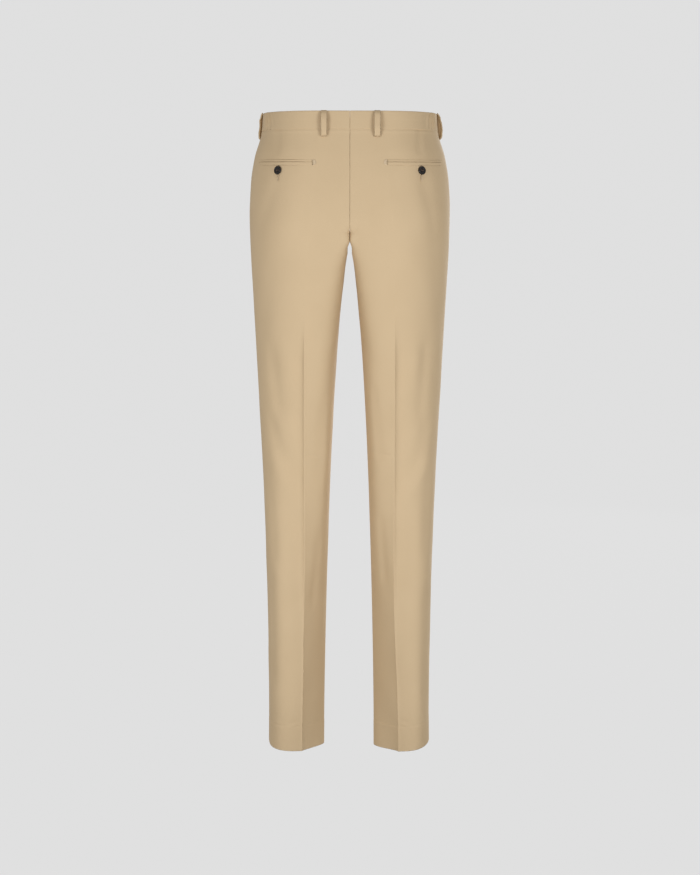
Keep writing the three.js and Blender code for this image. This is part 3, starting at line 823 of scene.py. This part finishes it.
def panel_relief(panel, side, place):
    """How far the cloth stands off the plain form, in millimetres."""
    s, z = place.run - place.crease_run, place.z
    to_end = place.length - place.run
    window = smooth((place.run - place.corner) / EDGE_REACH) * smooth(to_end / EDGE_REACH)
    relief = crease_relief(panel, s, z)
    relief += fold_relief(panel, side, s, z) * window
    relief += wave_relief(side, s, z, window)
    relief += WELT.height * smooth((WELT.width - to_end) / WELT.edge)
    relief += hem_relief(place.run, z)
    relief += waist_relief(z)
    if panel == "back":
        relief += pocket_relief(side, place.x, z)
    return relief


# ---- Panels ----

# Columns and rows of points lie closer together at the edges and where the form changes quickly.
FINE = np.array([0.0, 0.4, 0.9, 1.6, 2.6, 4.2, 6.5])
STRAIGHT_COLUMNS = 8
INNER_COLUMNS = 24
OUTER_COLUMNS = 26
LEAST_ROW_GAP = 0.35
PANEL_TOP = -BAND_HALF
PANEL_EDGE = CLOTH / 2 - SEAM_GAP / 2 - TOUCH  # how far in from a seam a panel's edge rounds off
TOP_ROWS = np.array([0, 0.4, 0.9, 1.5, 2.2, 3, 3.8, 4.6, 5.6, 7, 9.5, 12])
RISE_LEVELS = (0.97, 0.94, 0.9, 0.86, 0.82, 0.78, 0.74, 0.7, 0.6, 0.5, 0.4)
CROTCH_ROWS = np.array([0, 0.5, 1.2, 2.2, 3.5, 5, 7, 9.5, 12.5, 16, 20])
STITCH_ROWS = np.array([12, 9, 6.5, 4, 2.5, 1, 0, -1, -2, -3.5, -5, -7, -9.5, -12])
HEM_ROWS = np.array([25, 19, 13, 8, 5, 3, 1.6, CLOTH / 2])
ROW_STEP = Sizes(hip=3.2, leg=6.0, knee=1.5)
KNEE = Sizes(top=-545.0, bottom=-566.0)  # where the small wrinkles are


def panel_heights():
    """Heights of a panel's rows: close together at the waist, the crotch and the hem."""
    near_waist = PANEL_TOP - TOP_ROWS
    hip = np.arange(near_waist[-1] - 3, -182, -ROW_STEP.hip)
    rise = [
        RISE_START - (RISE_START - CROTCH) * (1 - level**RISE_ORDER) ** (1 / RISE_ORDER)
        for level in RISE_LEVELS
    ]
    below = CROTCH - CROTCH_ROWS
    hem_line = HEM + HEM_STITCH.above
    leg = np.arange(below[-1] - 5, hem_line + 9, -ROW_STEP.leg)
    leg = leg[(leg > KNEE.top + 1) | (leg < KNEE.bottom - 1)]
    knee = np.arange(KNEE.top, KNEE.bottom, -ROW_STEP.knee)
    parts = [near_waist, hip, rise, below, leg, knee, hem_line + STITCH_ROWS, HEM + HEM_ROWS]
    ordered = np.sort(np.concatenate(parts))[::-1]
    return ordered[np.concatenate([[True], np.diff(ordered) < -LEAST_ROW_GAP])]


def stretch(start, stop, count, fine_start=True):
    """Runs from start to stop, closer together towards the ends."""
    first = start + FINE if fine_start else np.array([start])
    last = stop - FINE[::-1]
    middle = np.linspace(first[-1], last[0], count + 2)[1:-1]
    return np.concatenate([first, middle, last])


def mouth_at(z):
    """How far the slanted pocket's mouth lies in from the side seam at height z."""
    return max(0.0, MOUTH.top * (z - MOUTH.bottom) / (PANEL_TOP - MOUTH.bottom))


def fly_share(z):
    """1 where the left front laps over the right one, 0 below the fly."""
    return smooth((z - FLY.end) / (FLY.bottom - FLY.end))


def panel_runs(profile, panel, side):
    """Runs of a panel's columns, from its inner edge to its side edge or to the pocket's mouth."""
    start = PANEL_EDGE
    if panel == "front" and side > 0:
        start = PANEL_EDGE - (FLY.past + PANEL_EDGE) * fly_share(profile.z)
    mouth = mouth_at(profile.z) if panel == "front" else 0.0
    end = profile.length - mouth - (CLOTH / 2 if mouth > 0.5 else PANEL_EDGE)
    straight = max(profile.straight, FINE[-1] + 2)
    crease = profile.crease_run
    near = np.linspace(0, 1, STRAIGHT_COLUMNS + 1) ** 1.6
    inward = stretch(straight, crease, INNER_COLUMNS, fine_start=False)[1:]
    outward = stretch(crease, end, OUTER_COLUMNS)[1:]
    return np.concatenate([start + (straight - start) * near, inward, outward])


def even_out(points, heights, side):
    """Spreads the quick change of form at the crotch over the rows near it, off the seam."""
    gap = heights[:, None] - heights[None, :]
    weights = bell(gap, CROTCH_SPREAD) * np.gradient(-heights)[None, :]
    weights /= weights.sum(1, keepdims=True)
    spread = np.tensordot(weights, points, axes=(1, 0))
    near = bell(heights - CROTCH, CROTCH_REACH * CROTCH_SPREAD)[:, None]
    off_seam = smooth((side * points[..., 0] - OFF_SEAM.start) / OFF_SEAM.width)
    share = (near * off_seam)[..., None]
    return points + share * (spread - points)


def make_panel(panel, side, word):
    heights = panel_heights()
    profiles = [profile_at(z, panel) for z in heights]
    runs = np.array([panel_runs(p, panel, side) for p in profiles])

    def per_row(values):
        return np.repeat(np.array(values)[:, None], runs.shape[1], 1)

    place = Sizes(
        run=runs,
        z=per_row(heights),
        crease_run=per_row([p.crease_run for p in profiles]),
        length=per_row([p.length for p in profiles]),
        corner=per_row([p.straight for p in profiles]),
    )
    base = np.array([on_profile(p, r, 0, side) for p, r in zip(profiles, runs)])
    base = even_out(base, heights, side)
    place.x = side * base[..., 0]
    level = np.array([on_profile(p, r, 1, side) for p, r in zip(profiles, runs)]) - base
    normal = grid_normals(base)
    normal *= np.sign(np.sum(normal * level, -1, keepdims=True))
    normal[0] = level[0] * [1, 1, 0]
    normal = unit(normal)

    relief = panel_relief(panel, side, place)
    if panel == "front" and side > 0:
        relief += FLY.lift * fly_share(heights)[:, None] * smooth((FLY.reach - runs) / FLY.fade)
    if panel == "front":
        mouth = np.array([mouth_at(z) for z in heights])[:, None]
        to_mouth = place.length - mouth - runs
        lifted = smooth(mouth / MOUTH.open) * smooth((MOUTH.near - to_mouth) / MOUTH.near)
        relief += MOUTH.lift * lifted
    rolled = np.clip((HEM + HEM_ROLL.above - place.z) / HEM_ROLL.above, 0, 1)
    rolled = rolled**HEM_ROLL.power * smooth(np.abs(base[..., 1]) / HEM_ROLL.even)
    turned_up = smooth((HEM + TURN_UP - place.z) / LAYER_EDGE)
    allowance = ALLOWANCE * smooth((WELT.width - (place.length - runs)) / LAYER_EDGE)
    folded = turned_up * smooth((place.z - HEM) / HEM_FOLD)
    wall = CLOTH + TURN_UP_CLOTH * folded + allowance * (1 - turned_up)
    base[..., 1] -= HEM_ROLL.depth[panel] * rolled * np.sign(base[..., 1])
    base[..., 2] -= HEM_ROLL.drop * rolled
    outer = base + normal * relief[..., None]
    inner = outer - normal * wall[..., None]
    uv = np.stack([runs - place.crease_run, place.z], -1)
    piece = cloth_shell(f"{panel}_panel_{word}", outer, inner, uv)
    finish_piece(piece, WOOL, "wool", f"{panel}_{word}")


def strip(name, rows, side):
    """A shell from rows of (profile, runs, how far out its face lies, how far out its back lies)."""
    outer = [on_profile(profile, run, face, side) for profile, run, face, _ in rows]
    inner = [on_profile(profile, run, back, side) for profile, run, _, back in rows]
    uv = [np.stack([run, np.full_like(run, profile.z)], -1) for profile, run, _, _ in rows]
    return cloth_shell(name, outer, inner, uv)


FACING = Sizes(drop=0.35, cloth=0.8, columns=30, row_step=4.0)


def make_facing(side, word):
    """The cloth behind a slanted pocket mouth: flush at the side seam and under the front."""
    bottom = MOUTH.bottom - MOUTH.under
    near_top = PANEL_TOP - np.array([0, 0.6, 1.5, 3])
    heights = np.concatenate([near_top, np.arange(PANEL_TOP - 6, bottom, -FACING.row_step)])
    share = np.linspace(0, 1, FACING.columns) ** 1.3
    rows = []
    for z in heights:
        profile, mouth = profile_at(z, "front"), mouth_at(z)
        distance = PANEL_EDGE + (mouth + MOUTH.under - PANEL_EDGE) * share
        depth = -(CLOTH + FACING.drop) * smooth(distance / max(0.75 * mouth, 3.0))
        depth += WELT.height * smooth((WELT.width - distance) / WELT.edge) * smooth(mouth / 10)
        rows.append((profile, profile.length - distance, depth, depth - CLOTH * FACING.cloth))
    piece = strip(f"pocket_facing_{word}", rows, side)
    finish_piece(piece, WOOL, "wool", f"side_pocket_facing_{word}")


# ---- Waistband ----

BAND = Sizes(fold=1.3, sewn=0.5, end=0.8, proud=0.5, apart=0.1, inside=0.4,
             face_rows=16, step=3.4, fine_step=0.7, end_turns=(90, 60, 30))
PUCKER = Sizes(reach=16.0, centre=57.0, length=12.0, fine_within=95.0, lean=2.2, bow=1.5, sunk=0.3,
               at_seam=0.15, height={"back": 2.2, "front": 0.7})
BAND_END = 5.0
BAND_END_RUNS = np.array([0, 0.5, 1.2, 2.2, 3.5])
BAND_LINE = Sizes(z=-1.5, width=1.2, depth=0.16, start=6.0)
BAND_WAVE = Sizes(z=4.0, width=9.0, height=0.16, length=11.0)


def band_section(inset=0.0):
    """The band's closed cross-section as (out, height), going up the outer face and over the top."""
    top, bottom = BAND_HALF, -BAND_HALF - TOUCH
    front, rear = BAND.proud, BAND.proud - BAND_CLOTH
    face = np.linspace(bottom + BAND.sewn, top - BAND.fold, BAND.face_rows)[1:-1]
    parts = [np.column_stack([np.full_like(face, front), face])]
    corners = (
        (front, top, BAND.fold, 0),
        (rear, top, BAND.fold, 90),
        (rear, bottom, BAND.sewn, 180),
        (front, bottom, BAND.sewn, 270),
    )
    for out, height, radius, start in corners:
        angle = np.radians(start + np.linspace(0, 90, 5))
        middle = np.array([out - radius * math.copysign(1, out - front / 2 - rear / 2),
                           height - radius * math.copysign(1, height)])
        parts.append(middle + radius * np.stack([np.cos(angle), np.sin(angle)], 1))
        if start == 90:
            parts.append(np.column_stack([np.full_like(face[::4], rear), face[::4][::-1]]))
    points = np.vstack(parts)
    along = np.roll(points, -1, 0) - np.roll(points, 1, 0)
    normal = unit(np.stack([along[:, 1], -along[:, 0]], 1))
    return points - inset * normal


def band_runs(length, first):
    """Runs from the middle to the side seam, closer together where the cloth puckers."""
    fine_from = length - PUCKER.fine_within
    coarse = np.linspace(first + BAND_END, fine_from, int((fine_from - first) / BAND.step))
    fine = np.linspace(fine_from, length, int(PUCKER.fine_within / BAND.fine_step))
    return np.concatenate([first + BAND_END_RUNS, coarse, fine[1:]])


def band_relief(section, run, length, side, panel):
    """Puckers near the side loop, a line along the middle and a slightly uneven face."""
    z = section[:, 1]
    to_side = length - run
    bend = PUCKER.lean * (z / BAND_HALF) + PUCKER.bow * (z / BAND_HALF) ** 2 + 0.35 * side
    wave = np.sin(2 * math.pi * to_side / PUCKER.length + bend)
    height = PUCKER.height[panel] * bell(to_side - PUCKER.centre, PUCKER.reach)
    upward = PUCKER.at_seam + (1 - PUCKER.at_seam) * smooth((z + BAND_HALF + 4) / 20)
    relief = height * (wave - PUCKER.sunk) * upward
    relief -= BAND_LINE.depth * bell(z - BAND_LINE.z, BAND_LINE.width) * smooth(run / BAND_LINE.start)
    swing = math.sin(run / BAND_WAVE.length + side)
    relief += BAND_WAVE.height * swing * bell(z - BAND_WAVE.z, BAND_WAVE.width)
    outward = section[:, 0] > BAND.proud - BAND_CLOTH / 2
    return np.where(outward, relief, BAND.inside * relief)


def make_band(side, word):
    back, front = profile_at(0, "back"), profile_at(0, "front")
    first = BAND.end - SEAM_GAP / 2 + BAND.apart
    lapped = side > 0
    last = -LAP.past + BAND.end if lapped else first
    stations = [("back", back, r, 0) for r in band_runs(back.length, first)]
    stations += [("front", front, r, 0) for r in band_runs(front.length, last)[-2::-1]]
    before = [(*stations[0][:3], turn) for turn in BAND.end_turns]
    after = [(*stations[-1][:3], turn) for turn in BAND.end_turns[::-1]]
    rings = []
    for panel, middle, run, turn in before + stations + after:
        section = band_section(BAND.end * (1 - math.cos(math.radians(turn))))
        past = run - BAND.end * math.sin(math.radians(turn))
        relief = band_relief(band_section(), run, middle.length, side, panel)
        lift = 0.0
        if lapped and panel == "front":
            lift = (BAND_CLOTH + SEAM_GAP) * smooth((LAP.ramp - past) / (LAP.ramp - 1))
        ring = []
        for (out, height), extra in zip(section, relief):
            profile = profile_at(height, panel)
            place = past * profile.length / middle.length if past > 0 else past
            ring.append(on_profile(profile, place, out + lift + extra, side))
        rings.append(ring)
    rings = np.array(rings)
    along, round_it = lengths_along(rings.mean(1)), lengths_along(band_section())
    uv = np.stack(np.meshgrid(along, round_it, indexing="ij"), -1)
    piece = closed_rings(f"waistband_{word}_half", rings, uv)
    finish_piece(piece, WOOL, "wool", f"waistband_{word}")


def closed_rings(name, rings, uv):
    """A closed mesh through rings of points, capped at both ends."""
    total, count = rings.shape[:2]
    ends = [list(range(count))[::-1], list(range((total - 1) * count, total * count))]
    faces = ring_quads(total, count) + ends
    vertices = rings.reshape(-1, 3)
    which = (total // 2) * count + 3
    outward = vertices[faces[which][0]] - rings.mean(1)[total // 2]
    return make_object(name, vertices, turned_out(faces, vertices, which, outward), uv.reshape(-1, 2))


# ---- Belt loops ----


# A loop ripples along its length, and a side loop wanders as well. Heights, and turns in radians.
RIPPLE = Sizes(height=0.5, turns=9.5, wander=0.55, wander_turns=19, drift=2, drift_turns=7)


def make_loop(name, side, panel, x, most):
    """A strap sewn down at the top of the band and below its seam, standing off between them."""
    bottom, top = -BAND_HALF - LOOP.below, BAND_HALF
    edge, half = LOOP.cloth / 2, LOOP.width / 2
    across = np.linspace(-half + edge, half - edge, LOOP.columns)
    crown = LOOP.crown * (1 - (across / half) ** 2) - LOOP.groove * bell(across, LOOP.groove_width)
    aside = panel == "side"
    # A side loop is drawn towards the front, so its rear edge stands off and its front edge lies on.
    twist = smooth((across + 0.3 * half) / (0.6 * LOOP.width)) if aside else np.ones_like(across)
    outer, inner, uv = [], [], []
    for share in np.linspace(0, 1, LOOP.rows):
        z = bottom + edge + (top + 0.3 - bottom - edge) * share
        back, front = profile_at(z, "back"), profile_at(z, "front")
        arch = math.sin(math.pi * share)
        ripple = RIPPLE.height * math.sin(RIPPLE.turns * share + side) * arch
        if aside:
            drift = 2 * side + RIPPLE.drift * math.sin(RIPPLE.drift_turns * share)
            ripple += RIPPLE.wander * math.sin(RIPPLE.wander_turns * share + drift) * arch
            runs = [(front, front.length + a) if a < 0 else (back, back.length - a) for a in across]
        else:
            profile = back if panel == "back" else front
            runs = [(profile, run_at_x(profile, x) + a) for a in across]
        stand = most * math.sin(math.pi * share**0.85) ** 0.6
        lift = BAND.proud * smooth((z + BAND_HALF + 6) / 8) + 0.1 + (stand + ripple) * twist
        rise = list(zip(runs, lift, crown))
        cloth = LOOP.cloth * (1.4 if aside else 1 - 0.7 * smooth((z - top + 5) / 5))
        outer.append([on_profile(p, r, up + cloth + c, side) for (p, r), up, c in rise])
        inner.append([on_profile(p, r, up, side) for (p, r), up, _ in rise])
        uv.append([[a, z] for a in across])
    piece = cloth_shell(f"{name}_strap", outer, inner, uv)
    finish_piece(piece, WOOL, "wool", name)


# ---- Back pockets ----


def make_jet(name, side, top, bottom):
    """One lip of a pocket mouth: a folded strip, rounded like a flat cord."""
    rows = []
    for a in np.linspace(0, 1, JET.rows):
        profile = profile_at(top + (bottom - top) * a, "back")
        start, end = run_at_x(profile, JET.inner), run_at_x(profile, JET.outer)
        run = start + (end - start) * np.linspace(0, 1, JET.columns)
        crown = JET.proud * (1 - (2 * a - 1) ** 4) ** 0.5
        uneven = 0.08 * np.sin(run / 6.3 + side) + 0.05 * np.sin(run / 2.9)
        rows.append((profile, run, JET.face + crown + uneven * crown, -JET.back))
    piece = strip(f"{name}_lip", rows, side)
    finish_piece(piece, WOOL, "wool", name)


def surface_frame(panel, z, run, out, side):
    """A point of the garment, with its directions across and up and its outward normal."""
    step = 2.0

    def at(dz, dr):
        return on_profile(profile_at(z + dz, panel), run + dr, out, side)

    point = at(0, 0)
    up = unit(at(step, 0) - at(-step, 0))
    across = unit(at(0, step) - at(0, -step)) * side
    normal = unit(np.cross(across, up))
    if normal[1] * point[1] < 0:
        normal = -normal
    across = unit(np.cross(up, normal))
    return Sizes(point=point, across=across, up=up, normal=normal)


def lay(place, across, up, out):
    """Points of the garment from how far across, up and out they lie in a surface frame."""
    across, up, out = (part[..., None] for part in np.broadcast_arrays(across, up, out))
    return place.point + across * place.across + up * place.up + out * place.normal


TACK = Sizes(height=9.4, width=5.6, threads=23, radius=0.25, least=1.0, behind=0.8)


def make_bar_tack(name, place, turned):
    """A half-moon of satin stitches that closes the end of a pocket mouth."""
    paths = []
    steps = np.linspace(0, 1, 6)
    arch = 0.25 + 0.55 * np.sin(np.pi * steps)
    for i in range(TACK.threads):
        share = 2 * i / (TACK.threads - 1) - 1
        reach = TACK.least + TACK.width * math.sqrt(max(0.0, 1 - share**2)) * 0.75
        across = turned * (-TACK.behind + (reach + TACK.behind) * steps)
        paths.append(lay(place, across, share * TACK.height / 2, arch))
    finish_piece(joined_tubes(name, paths, TACK.radius), THREAD, "wool")


HOLE = Sizes(above=1.0, below=17.5, half=0.7, slit=0.18, slant=0.12, thread=0.26, step=0.52,
             bars=(-0.45, 0.0, 0.45))


def make_buttonhole(name, place, upright=True):
    """Close stitches round a slit. It runs down from the button, or across if not upright."""
    paths = []

    def stitch(wide, long, rise):
        paths.append(lay(place, *((wide, long) if upright else (long, wide)), rise))

    steps = np.linspace(0, 1, 4)
    rise = 0.18 + 0.32 * np.sin(np.pi * (0.15 + 0.85 * steps))
    for i in range(int((HOLE.above + HOLE.below) / HOLE.step) + 1):
        for hand in (-1, 1):
            near, far = HOLE.slit * hand, (HOLE.slit + 2 * HOLE.half) * hand
            stitch(near + (far - near) * steps, HOLE.above - i * HOLE.step + HOLE.slant * hand, rise)
    steps = np.linspace(-1, 1, 5)
    for end in (HOLE.above, -HOLE.below):
        for bar in HOLE.bars:
            stitch(steps * (HOLE.half + 0.4), end + bar, 0.3 + 0.2 * np.cos(steps))
    finish_piece(joined_tubes(name, paths, HOLE.thread, sides=5), THREAD, "wool")


BUTTON_THREAD = Sizes(radius=0.22, strands=(-0.3, 0.0, 0.3), sunk=1.9, rise=1.35, past=0.25, shank=5)


def make_button(name, node, place):
    """A turned button: raised rim, dished middle, four holes and the thread through them."""
    radius, thick, turns = BUTTON.radius, BUTTON.thick, BUTTON.turns
    r = radius * np.concatenate([np.linspace(0, 0.62, 28), np.linspace(0.64, 0.985, 18)])
    angles = np.linspace(0, 2 * np.pi, turns, endpoint=False)
    rr, aa = np.meshgrid(r, angles, indexing="ij")
    x, y = rr * np.cos(aa), rr * np.sin(aa)
    share = rr / radius
    top = thick - BUTTON.dish * smooth((0.80 - share) / 0.14)
    top = top - BUTTON.hollow * smooth((0.5 - share) / 0.5)
    top = top - BUTTON.rounded * smooth((share - 0.9) / 0.1) ** 1.5
    for k in range(4):
        turn = math.pi * (0.25 + 0.5 * k)
        away = np.hypot(x - BUTTON.hole_ring * math.cos(turn), y - BUTTON.hole_ring * math.sin(turn))
        top = top - BUTTON.hole_depth * smooth((BUTTON.hole + 0.22 - away) / 0.4)
    rings = list(np.stack([x, y, top], -1))
    for share, height in ((1.0, thick - 1.15), (1.0, 0.9), (0.97, 0.5), (0.9, 0.25), (0.0, 0.2)):
        x, y = radius * share * np.cos(angles), radius * share * np.sin(angles)
        rings.append(np.column_stack([x, y, np.full(turns, height)]))
    vertices = lay(place, *np.moveaxis(np.array(rings), -1, 0)).reshape(-1, 3)
    faces = [[a, d, c, b] for a, b, c, d in ring_quads(len(rings), turns)]
    piece = make_object(name, vertices, faces)
    weld(piece)
    finish_piece(piece, HORN, "horn", node)

    paths = []
    reach = BUTTON.hole_ring / math.sqrt(2)
    steps = np.linspace(-1, 1, 9)
    arch = thick - BUTTON_THREAD.sunk + BUTTON_THREAD.rise * (1 - steps**6)
    for hand in (-1, 1):
        for strand in BUTTON_THREAD.strands:
            paths.append(lay(place, hand * reach + strand, steps * (reach + BUTTON_THREAD.past), arch))
    shank = np.linspace(-0.2, 0.4, 3)
    for k in range(BUTTON_THREAD.shank):
        turn = 2 * math.pi * k / BUTTON_THREAD.shank
        paths.append(lay(place, math.cos(turn), math.sin(turn), shank))
    finish_piece(joined_tubes(f"{name}_thread", paths, BUTTON_THREAD.radius), DARK_THREAD, "horn")


def weld(piece):
    """Joins the doubled points at the middle of a turned piece."""
    mesh = bmesh.new()
    mesh.from_mesh(piece.data)
    bmesh.ops.remove_doubles(mesh, verts=mesh.verts, dist=1e-6)
    bmesh.ops.recalc_face_normals(mesh, faces=mesh.faces)
    mesh.to_mesh(piece.data)
    mesh.free()
    piece.data.shade_smooth()


# ---- Stitching ----

STITCH = Sizes(long=2.5, gap=0.9, radius=0.2, sunk=0.12, arch=0.2, step=3.0)


def stitch_line(name, panel, side, places, out):
    """A line of stitches through places given as (z, run)."""
    places = np.asarray(places, float)
    lengths = lengths_along([on_profile(profile_at(z, panel), r, out, side) for z, r in places])
    steps = np.linspace(0, 1, 5)
    rise = out - STITCH.sunk + STITCH.arch * np.sin(np.pi * steps)
    paths = []
    at = 0.5
    while at + STITCH.long < lengths[-1]:
        z, run = (np.interp(at + STITCH.long * steps, lengths, column) for column in places.T)
        stitch = [on_profile(profile_at(a, panel), b, c, side) for a, b, c in zip(z, run, rise)]
        paths.append(stitch)
        at += STITCH.long + STITCH.gap
    finish_piece(joined_tubes(name, paths, STITCH.radius, sides=5), THREAD, "wool")


def fly_stitching():
    """Down along the fly and round to the middle seam."""
    straight = [(z, FLY.stitch) for z in np.arange(PANEL_TOP - 2, FLY.bend, -STITCH.step)]
    bend = [
        (FLY.bend - FLY.bend_height * math.sin(turn), 1 + (FLY.stitch - 1) * math.cos(turn))
        for turn in np.linspace(0, np.pi / 2, 16)[1:]
    ]
    stitch_line("fly_stitching", "front", 1, straight + bend, 0.3)


def mouth_stitching(side, word):
    heights = np.arange(PANEL_TOP - 4, MOUTH.bottom + 14, -STITCH.step)
    places = [(z, profile_at(z, "front").length - mouth_at(z) - MOUTH.stitch) for z in heights]
    stitch_line(f"pocket_mouth_stitching_{word}", "front", side, places, 0.75)


# ---- Zip and shield ----


def fly_strip(name, spans, top, bottom, face, thick, material, slot, node):
    """A strip behind both fronts. spans are x on the wearer's left and right of the middle."""
    heights = np.linspace(top, bottom, 40)
    columns = np.linspace(spans[0], -spans[1], 25)
    profiles = [profile_at(z, "front") for z in heights]

    def layer(out):
        return [[on_profile(p, abs(x), out, 1 if x >= 0 else -1) for x in columns] for p in profiles]

    uv = [[(x, z) for x in columns] for z in heights]
    piece = cloth_shell(name, layer(face), layer(face - thick), uv)
    finish_piece(piece, material, slot, node)


def make_zip():
    """The two tapes as one strip, and the coil's teeth as short arcs across the middle."""
    face = -PANEL_WALL - LAYER_GAP
    spans = (ZIP.half, ZIP.half)
    fly_strip("zip_tapes", spans, ZIP.top, ZIP.bottom, face - ZIP.sunk, ZIP.tape, TAPE, "zip_tape", "zip")
    steps = np.linspace(-1, 1, 7)
    lift = 0.2 + 0.25 * np.cos(steps * np.pi / 2)
    paths = []
    for z in np.arange(ZIP.top - 3, ZIP.bottom + 3, -ZIP.tooth_step):
        y = profile_at(z, "front").points[0][1]
        tooth = (ZIP.tooth_half * steps, y - face + ZIP.sunk - lift, z + tilt_at(z) * y)
        paths.append(np.column_stack(np.broadcast_arrays(*tooth)))
    finish_piece(joined_tubes("zip_coil", paths, ZIP.tooth_radius, sides=5), TAPE, "zip_tape")


def make_shield():
    face = -PANEL_WALL - LAYER_GAP - ZIP.thick - LAYER_GAP
    spans = (SHIELD.over, SHIELD.under)
    fly_strip("fly_shield_piece", spans, PANEL_TOP, SHIELD.bottom, face, SHIELD.cloth, WOOL, "wool",
              "fly_shield")


# ---- Build ----

make_camera()
make_light()
make_stage()

for word, side in SIDES:
    make_panel("back", side, word)
    make_panel("front", side, word)
    make_facing(side, word)
    make_band(side, word)
    mouth_stitching(side, word)
    make_jet(f"back_jet_upper_{word}", side, JET.line + JET.upper, JET.line + 0.2)
    make_jet(f"back_jet_lower_{word}", side, JET.line - 0.2, JET.line - JET.lower)
    run = run_at_x(profile_at(BACK_BUTTON.z, "back"), BACK_BUTTON.x)
    on_cloth = surface_frame("back", BACK_BUTTON.z, run, 0.2, side)
    make_button(f"back_button_{word}", f"back_pocket_button_{word}", on_cloth)
    make_buttonhole(f"back_buttonhole_{word}", surface_frame("back", BACK_BUTTON.z, run, 0.0, side))
    tack_run = run_at_x(profile_at(JET.line - 1, "back"), JET.inner - 1.5)
    tack_place = surface_frame("back", JET.line - 1, tack_run, 0.1, side)
    make_bar_tack(f"back_pocket_tack_{word}", tack_place, -np.sign(tack_place.across[0]) * side)

for loop in LOOPS:
    make_loop(*loop)

lap_face = BAND_PROUD + BAND_CLOTH + SEAM_GAP
lap_place = surface_frame("front", 0, WAIST_BUTTON_PAST, lap_face, -1)
on_lap = surface_frame("front", 0, WAIST_BUTTON_PAST, lap_face + 0.2, -1)
make_button("waistband_button", "waist_button", on_lap)
make_buttonhole("waistband_buttonhole", lap_place, upright=False)
fly_stitching()
make_zip()
make_shield()
